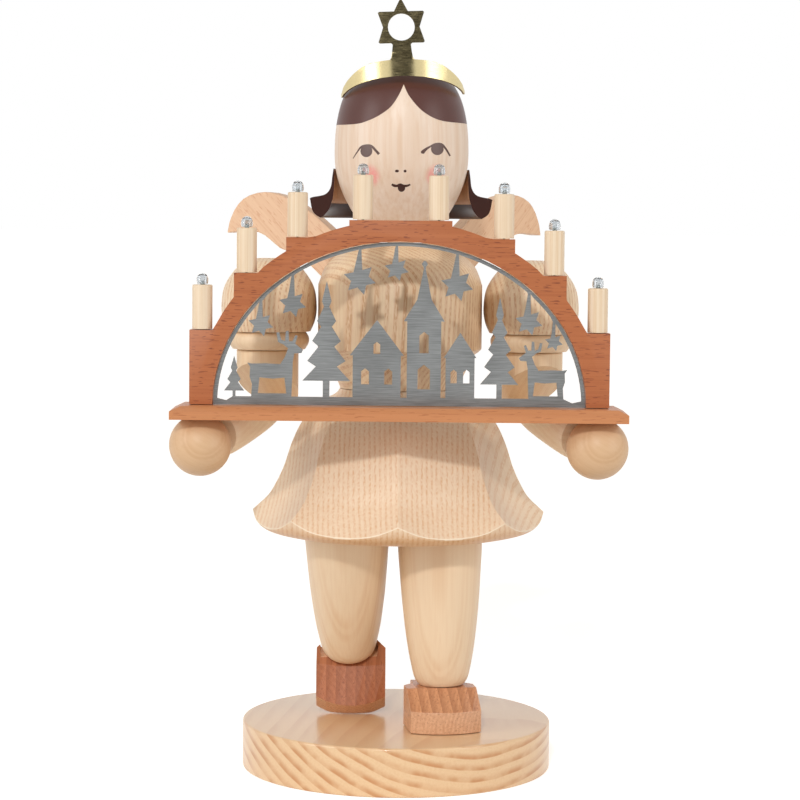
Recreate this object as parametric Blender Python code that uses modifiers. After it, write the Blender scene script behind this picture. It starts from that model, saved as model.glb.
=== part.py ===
"""Wooden angel that carries a stepped arch of eight small lamps and stands on a round plate.

Lengths are written in millimetres and scaled to metres by MM. +Z is up, the figure faces -Y,
and the origin is the centre of the plate's underside.
"""
import math

import bmesh
import bpy
from mathutils import Matrix, Vector

MM = 0.001
GAP = 0.3
PI = math.pi

# Round plate
PLATE_RADIUS = 65.0
PLATE_HEIGHT = 20.0
PLATE_ROUND = 1.0

# Shoes
SHOE_HALF_WIDTH = 14.7
SHOE_TOE_RADIUS = 26.0
SHOE_TOE_HEIGHT = 9.0
SHOE_HEIGHT = 16.5
SHOE_INSTEP = 15.0
SHOE_CHAMFER_START = 24.0
SHOE_CHAMFER_END = 29.0
SHOE_HEEL_HALF = 10.0
SHOE_LENGTH = 36.0
SHOE_STRIPS = 7
RIGHT_SHOE_TOE = (21.3, -37.6)
RIGHT_SHOE_TURN = 9.0
LEFT_SHOE_TOE = (-19.5, 6.7)
LEFT_SHOE_PITCH = 52.0
LEFT_SHOE_TRIM = 1.2
RECESS_RADIUS = 12.5
RECESS_DEPTH = 40.0

# Legs
LEG_TOP_RADIUS = 17.9
LEG_SHOWN = 62.3
LEG_SOCKET = 5.0
LEG_LENGTH = LEG_SHOWN + LEG_SOCKET + 0.7
RIGHT_LEG_SEAT = (1.3, 24.7)
RIGHT_LEG_TOP = (17.5, -13.0)
LEFT_LEG_SEAT = (-1.0, 22.7)
LEFT_LEG_SINK = 1.4
LEFT_LEG_TOP = (-21.2, -14.2)

# Skirt
SKIRT_UNDERSIDE_Z = PLATE_HEIGHT + SHOE_HEIGHT + 2 * GAP + LEG_SHOWN
SKIRT_HEIGHT = 60.6
WAIST_Z = SKIRT_UNDERSIDE_Z + SKIRT_HEIGHT
WAIST_RADIUS = 25.0
HEM_RADIUS = 61.5
HEM_RISE = 9.0
RIDGES = 8
RIDGE_FADE = 12.0
PANEL_STEPS = 5
PANEL_HOLLOW = 0.8
SKIRT_ROWS = 10

# Torso
TORSO_RADIUS = 34.4
TORSO_HEIGHT = 60.7
TORSO_TOP_Z = WAIST_Z + GAP + TORSO_HEIGHT

# Arms
ARM_X = 55.0
SLEEVE_RADIUS = 20.0
SLEEVE_HEIGHT = 30.5
SLEEVE_TOP_Z = TORSO_TOP_Z - 6.8
CUFF_HEIGHT = 7.2
CUFF_RADIUS = 17.0
CUFF_TOP_Z = SLEEVE_TOP_Z - SLEEVE_HEIGHT - GAP
ARM_RADIUS = 13.0
ARM_TOP_Z = CUFF_TOP_Z - CUFF_HEIGHT - GAP
ELBOW_X = 55.5
ELBOW_Z = ARM_TOP_Z - 14.9
HAND_X = 79.1
HAND_Y = -58.0
HAND_Z = ELBOW_Z - 20.5
HAND_RADIUS = 12.4
HAND_FLAT = 10.85

# Head, hair and crown
HEAD_RADIUS = 27.9
HEAD_HEIGHT = 74.7
HEAD_BOTTOM_Z = TORSO_TOP_Z + GAP
HEAD_TOP_Z = HEAD_BOTTOM_Z + HEAD_HEIGHT
HAIR_TOP_Z = HEAD_TOP_Z - 0.59 * HEAD_HEIGHT
HAIR_HEIGHT = 20.6
CROWN_RADIUS = HEAD_RADIUS - 2.2
CROWN_BAND = 6.8
CROWN_SHEET = 0.8
CROWN_REACH = 80.0
CROWN_FULL = 35.0
CROWN_TIP = 0.27
CROWN_DROP = 7.3
CROWN_FRONT_Z = HEAD_TOP_Z - 3.5
CROWN_ROLL = 2.1
STAR_RISE = 16.3
STAR_TOP = 11.22
STAR_ARM = (9.4, 6.4)
STAR_HOLE = 5.45
STAR_STEM = 7.4

# Wings
WING_SHEET = 7.0
WING_REACH = 84.0
WING_HEIGHT = 48.2
WING_LOW_Z = TORSO_TOP_Z - 27.0
WING_ROOT_Y = TORSO_RADIUS - 1.4
LEFT_WING_SWEEP = 25.0
RIGHT_WING_SWEEP = 43.0

# Board and arch
BOARD_HALF_LENGTH = 90.2
BOARD_FRONT_Y = -74.0
BOARD_BACK_Y = -46.0
BOARD_HEIGHT = 5.2
BOARD_BOTTOM_Z = HAND_Z + HAND_FLAT + GAP
BOARD_TOP_Z = BOARD_BOTTOM_Z + BOARD_HEIGHT
BOARD_CHAMFER = 1.9
BOARD_END_CHAMFER = 4.0
ARCH_Y = -60.0
ARCH_SHEET = 8.0
ARCH_FOOT_Z = BOARD_TOP_Z + GAP
ARCH_HALF = 83.1
ARCH_OUT = (80.5, 73.4)
ARCH_IN = (74.0, 65.0)
LEDGE_RISE = (29.45, 52.05, 66.25, 73.25)
LEDGE_Z = tuple(ARCH_FOOT_Z + rise for rise in LEDGE_RISE)
LEDGE_OUTER_X = (ARCH_HALF, 65.6, 45.1, 20.3)
LEDGE_INNER_X = (74.0, 56.3, 36.7, 0.0)
CANDLE_X = (78.3, 60.8, 40.8, 15.0)
PANEL_SHEET = 1.2
PANEL_RIM = 1.5
PANEL_SILL = 3.2
PANEL_FORWARD = 1.6

# Candles and lamps
CANDLE_RADIUS = 4.0
CANDLE_HEIGHT = 17.8
CANDLE_BORE = 1.5
BULB_RADIUS = 2.3
BULB_HEIGHT = 4.6
BULB_WALL = 0.3
BULB_NECK = 0.9
MOUNT_RADIUS = 0.9
MOUNT_RISE = 1.5
MOUNT_DEPTH = 3.5
FILAMENT_RISE = 2.9
FILAMENT_RADIUS = 0.12

# Wiring behind the arch
GROOVE_RADIUS = 1.1
LEAD_RADIUS = 0.7
RISER_RADIUS = 0.5
GROOVE_LINE = (77.2, 69.2)
GROOVE_DEPTH = 1.0
RISER_TOP = 9.0
BOARD_BORE_Z = BOARD_BOTTOM_Z + 0.49 * BOARD_HEIGHT
LEAD_BORE = 1.2
GLAND_RADIUS = 2.3
GLAND_NECK = 1.6
GLAND_SEAT = 1.9
GLAND_BORE = 0.9
GLAND_DEPTH = 3.0
COVER_SHEET = 0.8
COVER_WIDTH = 4.4

WOODS = {
    "pine": ((0.82, 0.63, 0.38), 0.38),
    "lime": ((0.83, 0.70, 0.50), 0.45),
    "ash": ((0.81, 0.65, 0.43), 0.45),
    "pale_beech": ((0.80, 0.56, 0.38), 0.45),
    "beech": ((0.53, 0.28, 0.15), 0.48),
    "red_beech": ((0.56, 0.21, 0.085), 0.45),
    "hair_brown": ((0.10, 0.030, 0.018), 0.22),
}


def clear_scene():
    for obj in list(bpy.data.objects):
        bpy.data.objects.remove(obj, do_unlink=True)


def new_collection(name):
    collection = bpy.data.collections.new(name)
    bpy.context.scene.collection.children.link(collection)
    return collection


clear_scene()
PARTS = new_collection("angel_candle_holder")
CUTTERS = new_collection("cutters")


def material(name, colour, roughness, metallic=0.0, clear=0.0):
    made = bpy.data.materials.new(name)
    made.use_nodes = True
    shader = made.node_tree.nodes["Principled BSDF"]
    shader.inputs["Base Color"].default_value = (*colour, 1.0)
    shader.inputs["Roughness"].default_value = roughness
    shader.inputs["Metallic"].default_value = metallic
    shader.inputs["Transmission Weight"].default_value = clear
    made.diffuse_color = (*colour, 1.0)
    return made


def wood(node, kind):
    colour, roughness = WOODS[kind]
    return material(node + "_" + kind, colour, roughness)


def add_object(name, mesh, skin=None):
    """Puts a mesh in the scene, as a part when it has a material and as a cutter when it has none."""
    obj = bpy.data.objects.new(name, mesh)
    if skin:
        mesh.materials.append(skin)
        PARTS.objects.link(obj)
    else:
        CUTTERS.objects.link(obj)
        obj.hide_render = True
        obj.display_type = "WIRE"
    return obj


def scaled(points):
    return [Vector(point) * MM for point in points]


def smooth_line(points, steps):
    """Points of a curve that runs evenly through the given (r, z) points."""
    ends = [points[0], *points, points[-1]]
    line = []
    for a, b, c, d in zip(ends, ends[1:], ends[2:], ends[3:]):
        for step in range(steps):
            t = step / steps
            line.append(tuple(
                0.5 * (2 * q + (r - p) * t + (2 * p - 5 * q + 4 * r - s) * t * t
                       + (3 * q - p - 3 * r + s) * t ** 3)
                for p, q, r, s in zip(a, b, c, d)
            ))
    line.append(points[-1])
    return line


def shares(points, radius, top, height):
    """Outline points (r, z) from shares of a radius and of a height measured down from the top."""
    return [(r * radius, top - drop * height) for r, drop in points]


def turned(name, profile, segments, skin=None, ring=False):
    """A round piece about Z from (r, z) points that run down its outer side."""
    mesh = bpy.data.meshes.new(name)
    points = [Vector((r * MM, 0.0, z * MM)) for r, z in profile]
    count = len(points)
    edges = [(i, i + 1) for i in range(count - 1)]
    if ring:
        edges.append((count - 1, 0))
    mesh.from_pydata(points, edges, [])
    obj = add_object(name, mesh, skin)
    screw = obj.modifiers.new("turn", "SCREW")
    screw.steps = segments
    screw.render_steps = segments
    screw.use_merge_vertices = True
    screw.merge_threshold = 1e-5
    screw.use_smooth_shade = True
    return obj


def sheet(name, outlines, thickness, skin=None):
    """A flat sheet from closed outlines in (x, z), centred on y = 0. Inner outlines are holes."""
    curve = bpy.data.curves.new(name, "CURVE")
    curve.dimensions = "2D"
    curve.fill_mode = "BOTH"
    curve.extrude = thickness * MM / 2
    for outline in outlines:
        spline = curve.splines.new("POLY")
        spline.points.add(len(outline) - 1)
        for point, (x, z) in zip(spline.points, outline):
            point.co = (x * MM, z * MM, 0.0, 1.0)
        spline.use_cyclic_u = True
    return curve_to_mesh(name, curve, skin, Matrix.Rotation(PI / 2, 4, "X"))


def tube(name, line, radius, sides, skin=None):
    """A round tube with closed ends along a line of (x, y, z) points."""
    curve = bpy.data.curves.new(name, "CURVE")
    curve.dimensions = "3D"
    curve.bevel_depth = radius * MM
    curve.bevel_resolution = max(0, (sides - 4) // 2)
    curve.use_fill_caps = True
    spline = curve.splines.new("POLY")
    spline.points.add(len(line) - 1)
    for point, place in zip(spline.points, scaled(line)):
        point.co = (*place, 1.0)
    return curve_to_mesh(name, curve, skin, Matrix.Identity(4))


def curve_to_mesh(name, curve, skin, turn):
    helper = bpy.data.objects.new(name + "_line", curve)
    CUTTERS.objects.link(helper)
    graph = bpy.context.evaluated_depsgraph_get()
    mesh = bpy.data.meshes.new_from_object(helper.evaluated_get(graph))
    bpy.data.objects.remove(helper)
    mesh.transform(turn)
    mesh.materials.clear()
    shape = bmesh.new()
    shape.from_mesh(mesh)
    bmesh.ops.remove_doubles(shape, verts=shape.verts, dist=1e-6)
    bmesh.ops.recalc_face_normals(shape, faces=shape.faces)
    shape.to_mesh(mesh)
    shape.free()
    return add_object(name, mesh, skin)


def loft(name, rings, skin=None, smooth=False):
    """A closed solid from rings of equal point count, first and last ring capped."""
    shape = bmesh.new()
    rows = [[shape.verts.new(point) for point in scaled(ring)] for ring in rings]
    count = len(rows[0])
    for low, high in zip(rows, rows[1:]):
        for i in range(count):
            j = (i + 1) % count
            face = shape.faces.new((low[i], low[j], high[j], high[i]))
            face.smooth = smooth
    shape.faces.new(rows[0])
    shape.faces.new(rows[-1])
    bmesh.ops.recalc_face_normals(shape, faces=shape.faces)
    mesh = bpy.data.meshes.new(name)
    shape.to_mesh(mesh)
    shape.free()
    return add_object(name, mesh, skin)


def block(name, low, high, skin=None):
    """A box between two corners."""
    shape = bmesh.new()
    bmesh.ops.create_cube(shape, size=1.0)
    low = Vector(low) * MM
    high = Vector(high) * MM
    for vert in shape.verts:
        vert.co = Vector(
            low[i] if vert.co[i] < 0 else high[i] for i in range(3)
        )
    mesh = bpy.data.meshes.new(name)
    shape.to_mesh(mesh)
    shape.free()
    return add_object(name, mesh, skin)


def combine(obj, other, operation="DIFFERENCE"):
    boolean = obj.modifiers.new(operation.lower(), "BOOLEAN")
    boolean.operation = operation
    boolean.solver = "EXACT"
    boolean.object = other
    return obj


def place(obj, point, direction=None, turn=0.0):
    """Moves a piece, and turns its own Z to a direction when one is given."""
    obj.location = Vector(point) * MM
    if direction:
        obj.rotation_mode = "QUATERNION"
        obj.rotation_quaternion = Vector((0, 0, 1)).rotation_difference(Vector(direction))
    elif turn:
        obj.rotation_euler = (0.0, 0.0, math.radians(turn))
    return obj


def half_space(name, point, normal):
    """A large cutter block whose near face passes through a point."""
    size = 150.0
    cutter = block(name, (-size, -size, 0.0), (size, size, size))
    return place(cutter, point, direction=normal)


def base_plate():
    top = PLATE_HEIGHT
    profile = [
        (0, top),
        (PLATE_RADIUS - PLATE_ROUND, top),
        (PLATE_RADIUS - 0.3 * PLATE_ROUND, top - 0.3 * PLATE_ROUND),
        (PLATE_RADIUS, top - PLATE_ROUND),
        (PLATE_RADIUS, PLATE_ROUND),
        (PLATE_RADIUS - PLATE_ROUND, 0),
        (0, 0),
    ]
    turned("base_plate", profile, 48, wood("base_plate", "pine"))


def shoe(name):
    """A shoe with its toe at the origin, its heel towards +Y and its sole on z = 0."""
    outlines = []
    for height in (0.0, SHOE_TOE_HEIGHT, SHOE_HEIGHT):
        ring = []
        for i in range(SHOE_STRIPS + 1):
            across = SHOE_HALF_WIDTH * (2 * i / SHOE_STRIPS - 1)
            back = SHOE_TOE_RADIUS - math.sqrt(SHOE_TOE_RADIUS ** 2 - across ** 2)
            if height == SHOE_HEIGHT:
                back = SHOE_INSTEP + 0.25 * back
            ring.append((across, back, height))
        ring.append((SHOE_HALF_WIDTH, SHOE_CHAMFER_START, height))
        ring.append((SHOE_HEEL_HALF, SHOE_CHAMFER_END, height))
        ring.append((SHOE_HEEL_HALF, SHOE_LENGTH, height))
        ring.append((-SHOE_HEEL_HALF, SHOE_LENGTH, height))
        ring.append((-SHOE_HEEL_HALF, SHOE_CHAMFER_END, height))
        ring.append((-SHOE_HALF_WIDTH, SHOE_CHAMFER_START, height))
        outlines.append(ring)
    return loft(name, outlines, wood(name, "beech"))


def shoes():
    right = shoe("right_shoe")
    place(right, (*RIGHT_SHOE_TOE, PLATE_HEIGHT + GAP), turn=RIGHT_SHOE_TURN)
    left = shoe("left_shoe")
    place(left, left_toe())
    left.rotation_euler = (math.radians(LEFT_SHOE_PITCH), 0.0, 0.0)
    floor = half_space("sole_trim", (*LEFT_SHOE_TOE, PLATE_HEIGHT + GAP), (0, 0, -1))
    combine(left, floor)
    foot = left_foot()
    axis = (Vector((*LEFT_LEG_TOP, SKIRT_UNDERSIDE_Z)) - foot).normalized()
    bore = [(0, RECESS_DEPTH), (RECESS_RADIUS, RECESS_DEPTH), (RECESS_RADIUS, 0), (0, 0)]
    recess = turned("recess", bore, 24)
    place(recess, foot - axis * GAP, direction=axis)
    combine(left, recess)


def left_toe():
    return Vector((*LEFT_SHOE_TOE, PLATE_HEIGHT - LEFT_SHOE_TRIM + GAP))


def left_foot():
    """The end of the left leg, sunk in the top of the pitched shoe."""
    seat = Vector((*LEFT_LEG_SEAT, SHOE_HEIGHT - LEFT_LEG_SINK))
    return left_toe() + Matrix.Rotation(math.radians(LEFT_SHOE_PITCH), 3, "X") @ seat


def right_foot():
    """The end of the right leg, on top of the shoe that stands flat."""
    seat = Vector((*RIGHT_LEG_SEAT, SHOE_HEIGHT + GAP))
    toe = Vector((*RIGHT_SHOE_TOE, PLATE_HEIGHT + GAP))
    return toe + Matrix.Rotation(math.radians(RIGHT_SHOE_TURN), 3, "Z") @ seat


def leg_profile(spare):
    """Leg outline from the top down to the foot end at z = 0, widened by a spare amount."""
    swell = shares([
        (1.0, 0.0),
        (0.983, 0.140),
        (0.961, 0.250),
        (0.888, 0.513),
        (0.788, 0.747),
        (0.682, 0.904),
        (0.615, 0.966),
        (0.531, 1.0),
    ], LEG_TOP_RADIUS, LEG_LENGTH, LEG_LENGTH)
    swell = [(r + spare, z) for r, z in swell]
    return [(0, LEG_LENGTH + spare), *swell, (0, 0)]


def legs(body):
    """Both legs, each in its own socket under the skirt."""
    top_z = SKIRT_UNDERSIDE_Z + LEG_SOCKET
    ceiling = half_space("leg_top_cut", (0, 0, top_z), (0, 0, 1))
    socket_roof = half_space("socket_roof", (0, 0, top_z + GAP), (0, 0, 1))
    sides = (("left", left_foot(), LEFT_LEG_TOP), ("right", right_foot(), RIGHT_LEG_TOP))
    for side, foot, top in sides:
        axis = Vector((*top, SKIRT_UNDERSIDE_Z)) - foot
        leg = turned(side + "_leg", leg_profile(0.0), 32, wood(side + "_leg", "lime"))
        place(leg, foot, direction=axis)
        combine(leg, ceiling)
        socket = turned(side + "_socket", leg_profile(GAP), 32)
        place(socket, foot, direction=axis)
        combine(socket, socket_roof)
        combine(body, socket)


def skirt():
    """Bell with eight ridges: each upright section follows one flare, drawn in between the ridges."""
    flare = [
        (0.0, 0.0),
        (0.044, 0.041),
        (0.145, 0.083),
        (0.290, 0.174),
        (0.433, 0.277),
        (0.548, 0.446),
        (0.641, 0.645),
        (0.751, 0.808),
        (0.838, 0.897),
        (1.0, 1.0),
        (1.082, 1.043),
        (1.178, 1.089),
    ]
    flare = shares(flare, HEM_RADIUS - WAIST_RADIUS, WAIST_Z, SKIRT_HEIGHT - HEM_RISE)
    flare = [(WAIST_RADIUS + r, z) for r, z in flare]
    under = [(1.0, 0.0), (0.971, 0.489), (0.911, 0.822), (0.813, 1.0)]
    under = shares(under, HEM_RADIUS, SKIRT_UNDERSIDE_Z + HEM_RISE, HEM_RISE)
    flare = smooth_line(flare, 3)
    under = smooth_line(under, 4)
    panel = 2 * PI / RIDGES
    columns = []
    for k in range(RIDGES * PANEL_STEPS):
        angle = k * panel / PANEL_STEPS
        offset = (k % PANEL_STEPS) / PANEL_STEPS * panel - panel / 2
        chord = math.cos(panel / 2) / math.cos(offset)
        hollow = 1 - (2 * offset / panel) ** 2
        columns.append(skirt_column(flare, under, angle, chord, hollow))
    rings = [list(ring) for ring in zip(*columns)]
    return loft("skirt", rings, wood("skirt", "ash"))


def skirt_column(flare, under, angle, chord, hollow):
    """The section at one angle, from the waist down to the hem and in under it."""
    side = []
    for r, z in flare:
        draw = min(1.0, (WAIST_Z - z) / RIDGE_FADE)
        side.append((r * (1 + draw * (chord - 1)) - draw * hollow * PANEL_HOLLOW, z))
    hem, low_end = crossing(side, under)
    length = hem[0]
    column = []
    for step in range(SKIRT_ROWS):
        column.append(along(side, length * step / (SKIRT_ROWS - 1)))
    column += low_end
    return [(r * math.cos(angle), r * math.sin(angle), z) for r, z in column]


def crossing(side, under):
    """Where the flare meets the turned underside, and four points of the underside from there."""
    for i in range(len(side) - 1):
        for j in range(len(under) - 1):
            hit = meet(side[i], side[i + 1], under[j], under[j + 1])
            if hit is None:
                continue
            s, t = hit
            inner = [along(under, j + t + (len(under) - 1 - j - t) * n / 4) for n in range(1, 5)]
            return (i + s,), inner
    inner = [along(under, (len(under) - 1) * n / 4) for n in range(1, 5)]
    rim = next(i for i, (r, z) in enumerate(side) if z <= SKIRT_UNDERSIDE_Z + HEM_RISE)
    return (float(rim),), inner


def meet(a, b, c, d):
    """Fractions along a-b and c-d where the two short lines cross, or None."""
    ux, uz = b[0] - a[0], b[1] - a[1]
    vx, vz = d[0] - c[0], d[1] - c[1]
    cross = ux * vz - uz * vx
    if abs(cross) < 1e-12:
        return None
    s = ((c[0] - a[0]) * vz - (c[1] - a[1]) * vx) / cross
    t = ((c[0] - a[0]) * uz - (c[1] - a[1]) * ux) / cross
    if 0 <= s <= 1 and 0 <= t <= 1:
        return s, t
    return None


def along(line, place_on):
    i = min(int(place_on), len(line) - 2)
    t = place_on - i
    return tuple(p + (q - p) * t for p, q in zip(line[i], line[i + 1]))


def torso_profile(spare):
    dome = [(0.465, 0.0), (0.712, 0.061), (0.907, 0.160), (1.0, 0.288)]
    lower = [(1.0, 0.725), (0.907, 0.769), (0.785, 0.911), (WAIST_RADIUS / TORSO_RADIUS, 1.0)]
    line = shares(smooth_line(dome, 2) + lower, TORSO_RADIUS, TORSO_TOP_Z, TORSO_HEIGHT)
    line = [(r + spare, z) for r, z in line]
    return [(0, TORSO_TOP_Z + spare), *line, (0, TORSO_TOP_Z - TORSO_HEIGHT - spare)]


def torso():
    turned("torso", torso_profile(0.0), 36, wood("torso", "ash"))


def wing_outline():
    """Wing seen flat: distance out from the back against height, the lower edge first."""
    lower = [
        (-0.048, 0.062),
        (0.238, 0.0),
        (0.405, 0.187),
        (0.542, 0.394),
        (0.685, 0.494),
        (0.774, 0.608),
        (0.857, 0.647),
        (1.0, 0.627),
    ]
    upper = [
        (0.988, 0.726),
        (0.958, 0.840),
        (0.905, 0.942),
        (0.821, 0.998),
        (0.732, 1.0),
        (0.631, 0.948),
        (0.488, 0.809),
        (0.333, 0.591),
        (0.190, 0.394),
        (-0.048, 0.311),
    ]
    line = smooth_line(lower, 2) + smooth_line(upper, 2)
    return [(u * WING_REACH, WING_LOW_Z + z * WING_HEIGHT) for u, z in line]


def wings():
    body = turned("torso_clearance", torso_profile(GAP), 36)
    for side, hand, sweep in (("left", -1, LEFT_WING_SWEEP), ("right", 1, RIGHT_WING_SWEEP)):
        outline = [(hand * u, z) for u, z in wing_outline()]
        wing = sheet(side + "_wing", [outline], WING_SHEET, wood(side + "_wing", "pale_beech"))
        place(wing, (0, WING_ROOT_Y + WING_SHEET / 2, 0), turn=hand * sweep)
        middle = half_space(side + "_wing_mitre", (hand * GAP / 2, 0, WING_LOW_Z), (-hand, 0, 0))
        combine(wing, middle)
        combine(wing, body)


def sleeves_and_cuffs():
    sleeve = shares(smooth_line([
        (0.23, 0.0),
        (0.49, 0.049),
        (0.73, 0.170),
        (0.94, 0.393),
        (1.0, 0.646),
        (0.97, 0.843),
        (0.875, 1.0),
    ], 2), SLEEVE_RADIUS, SLEEVE_TOP_Z, SLEEVE_HEIGHT)
    cuff = shares(smooth_line([
        (0.912, 0.0),
        (0.988, 0.3),
        (0.982, 0.65),
        (0.900, 1.0),
    ], 2), CUFF_RADIUS, CUFF_TOP_Z, CUFF_HEIGHT)
    for side, hand in (("left", -1), ("right", 1)):
        profile = [(0, SLEEVE_TOP_Z), *sleeve, (0, SLEEVE_TOP_Z - SLEEVE_HEIGHT)]
        piece = turned(side + "_sleeve", profile, 26, wood(side + "_sleeve", "ash"))
        place(piece, (hand * ARM_X, 0, 0))
        profile = [(0, CUFF_TOP_Z), *cuff, (0, CUFF_TOP_Z - CUFF_HEIGHT)]
        piece = turned(side + "_cuff", profile, 24, wood(side + "_cuff", "lime"))
        place(piece, (hand * ARM_X, 0, 0))


def arms():
    """Upper arm and forearm meet in a mitre at the elbow; the forearm ends on the ball hand."""
    board_clear = BOARD_BOTTOM_Z - GAP
    for side, hand in (("left", -1), ("right", 1)):
        elbow = Vector((hand * ELBOW_X, 0, ELBOW_Z))
        palm = Vector((hand * HAND_X, HAND_Y, HAND_Z))
        reach = (palm - elbow).length
        out = (palm - elbow).normalized()
        mitre = (Vector((0, 0, -1)) + out).normalized()
        r = ARM_RADIUS

        low_z = ELBOW_Z - 1.6 * r
        upper = turned(
            side + "_upper_arm",
            [(0, ARM_TOP_Z), (r, ARM_TOP_Z), (r, low_z), (0, low_z)],
            28,
            wood(side + "_upper_arm", "lime"),
        )
        place(upper, (hand * ELBOW_X, 0, 0))
        combine(upper, half_space(side + "_elbow_low", elbow - mitre * GAP / 2, mitre))

        end = reach - 0.3 * HAND_RADIUS
        swell = smooth_line([
            (0.77 * r, end),
            (0.89 * r, reach * 0.74),
            (1.02 * r, reach * 0.48),
            (1.08 * r, reach * 0.27),
            (1.02 * r, reach * 0.08),
            (r, -0.15 * r),
        ], 2)
        fore = turned(
            side + "_forearm",
            [(0, end), *swell, (r, -1.1 * r), (0, -1.1 * r)],
            28,
            wood(side + "_forearm", "lime"),
        )
        place(fore, elbow, direction=out)
        combine(fore, half_space(side + "_elbow_high", elbow + mitre * GAP / 2, -mitre))
        seat = ball(side + "_hand_seat", HAND_RADIUS + GAP, 28)
        place(seat, palm)
        combine(fore, seat)
        combine(fore, half_space(side + "_fore_top", (0, 0, board_clear), (0, 0, 1)))

        knob = ball(side + "_hand", HAND_RADIUS, 20, wood(side + "_hand", "lime"))
        place(knob, palm)
        combine(knob, half_space(side + "_hand_flat", (0, 0, board_clear), (0, 0, 1)))


def ball(name, radius, segments, skin=None):
    rows = segments // 2
    profile = [
        (radius * math.sin(PI * i / rows), radius * math.cos(PI * i / rows))
        for i in range(rows + 1)
    ]
    profile[0] = (0, radius)
    profile[-1] = (0, -radius)
    return turned(name, profile, segments, skin)


def head():
    side = shares(smooth_line([
        (0.323, 0.009),
        (0.591, 0.051),
        (0.771, 0.123),
        (0.892, 0.212),
        (0.968, 0.324),
        (1.0, 0.449),
        (0.989, 0.586),
        (0.892, 0.715),
        (0.731, 0.831),
        (0.556, 0.930),
        (0.430, 1.0),
    ], 2), HEAD_RADIUS, HEAD_TOP_Z, HEAD_HEIGHT)
    profile = [(0, HEAD_TOP_Z), *side, (0, HEAD_BOTTOM_Z)]
    turned("head", profile, 32, wood("head", "lime"))


def hair_ring():
    """Flared ring round the back of the head, cut off level with the ears."""
    outer = smooth_line([
        (1.018, 0.0),
        (1.036, 0.165),
        (1.061, 0.388),
        (1.147, 0.529),
        (1.348, 0.592),
        (1.362, 0.660),
        (1.319, 0.888),
        (1.212, 1.0),
    ], 2)
    inner = smooth_line([
        (1.161, 0.966),
        (1.082, 0.830),
        (1.022, 0.578),
        (1.004, 0.277),
        (1.005, 0.010),
    ], 2)
    line = shares(outer + inner, HEAD_RADIUS, HAIR_TOP_Z, HAIR_HEIGHT)
    ring = turned("hair_ring", line, 32, wood("hair_ring", "hair_brown"), ring=True)
    wide = 2 * HEAD_RADIUS
    front = block("hair_front_cut", (-wide, -wide, HEAD_BOTTOM_Z), (wide, 0, HEAD_TOP_Z))
    combine(ring, front)


def band_height(along_band):
    """Height of the crown's band, full in front and drawn down to a tip at each end."""
    angle = math.degrees(abs(along_band) / CROWN_RADIUS)
    t = max(0.0, (angle - CROWN_FULL) / (CROWN_REACH - CROWN_FULL))
    return CROWN_BAND * (1 - (1 - CROWN_TIP) * t)


def crown_outline():
    """Band, stem and six-pointed star in the flat sheet: along the band against height."""
    low = -CROWN_BAND / 2
    length = math.radians(CROWN_REACH) * CROWN_RADIUS
    tip = CROWN_TIP * CROWN_BAND
    stem = STAR_STEM / 2
    right = [(length * i / 8, low) for i in range(1, 8)]
    right.append((length - 0.3 * tip, low))
    right.append((length, low + 0.35 * tip))
    right.append((length - 0.1 * tip, low + 0.8 * tip))
    for i in range(7, 1, -1):
        x = length * i / 8
        right.append((x, low + band_height(x)))
    right += [(1.34 * stem, -low), (1.18 * stem, -low + 0.8), (1.08 * stem, -low + 3.0)]
    right += star_half()
    left = [(-x, z) for x, z in reversed(right)]
    return [(0.0, low), *right, *left]


def star_half():
    """Right half of the star, from its stem round to the blunt top."""
    arm_x, arm_z = STAR_ARM
    blunt = 0.5
    half = [
        (STAR_STEM / 2, -arm_z - 0.6),
        (STAR_STEM / 2 + 0.6, -arm_z),
        (arm_x - blunt, -arm_z),
        (arm_x, -arm_z + blunt),
        (0.79 * arm_x, 0.0),
        (arm_x, arm_z - blunt),
        (arm_x - blunt, arm_z),
        (0.30 * arm_x, arm_z),
        (0.7 * blunt, STAR_TOP),
    ]
    return [(x, z + STAR_RISE) for x, z in half]


def crown():
    """One sheet of brass: the band bent round the head, the star left nearly flat in front."""
    hole = []
    for i in range(24):
        angle = 2 * PI * i / 24
        hole.append((STAR_HOLE * math.sin(angle), STAR_RISE + STAR_HOLE * math.cos(angle)))
    brass = material("crown_brass", (0.78, 0.56, 0.22), 0.25, 1.0)
    obj = sheet("crown", [crown_outline(), hole], CROWN_SHEET, brass)
    shape = bmesh.new()
    shape.from_mesh(obj.data)
    cuts = [((x, 0, 0), (1, 0, 0)) for x in range(-36, 37, 4)]
    cuts += [((0, 0, CROWN_BAND / 2 + rise), (0, 0, 1)) for rise in (0.0, 1.8, 4.2)]
    for point, normal in cuts:
        bmesh.ops.bisect_plane(
            shape,
            geom=shape.verts[:] + shape.edges[:] + shape.faces[:],
            dist=1e-7,
            plane_co=Vector(point) * MM,
            plane_no=normal,
        )
    for vert in shape.verts:
        along_band, out, height = vert.co / MM
        rise = max(0.0, height - CROWN_BAND / 2)
        radius = CROWN_RADIUS / max(0.12, 1.0 - rise / 4.5)
        angle = along_band / radius
        depth = radius - out
        drop = (1 - math.cos(angle)) / (1 - math.cos(math.radians(CROWN_REACH)))
        bent = (
            depth * math.sin(angle),
            radius - CROWN_RADIUS - depth * math.cos(angle),
            height - drop * CROWN_DROP,
        )
        vert.co = Vector(bent) * MM
    bmesh.ops.recalc_face_normals(shape, faces=shape.faces)
    shape.to_mesh(obj.data)
    shape.free()
    place(obj, (0, 0, CROWN_FRONT_Z))
    obj.rotation_euler = (0.0, -math.radians(CROWN_ROLL), 0.0)


def ellipse_z(size, x):
    return ARCH_FOOT_Z + size[1] * math.sqrt(max(0.0, 1 - (x / size[0]) ** 2))


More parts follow.
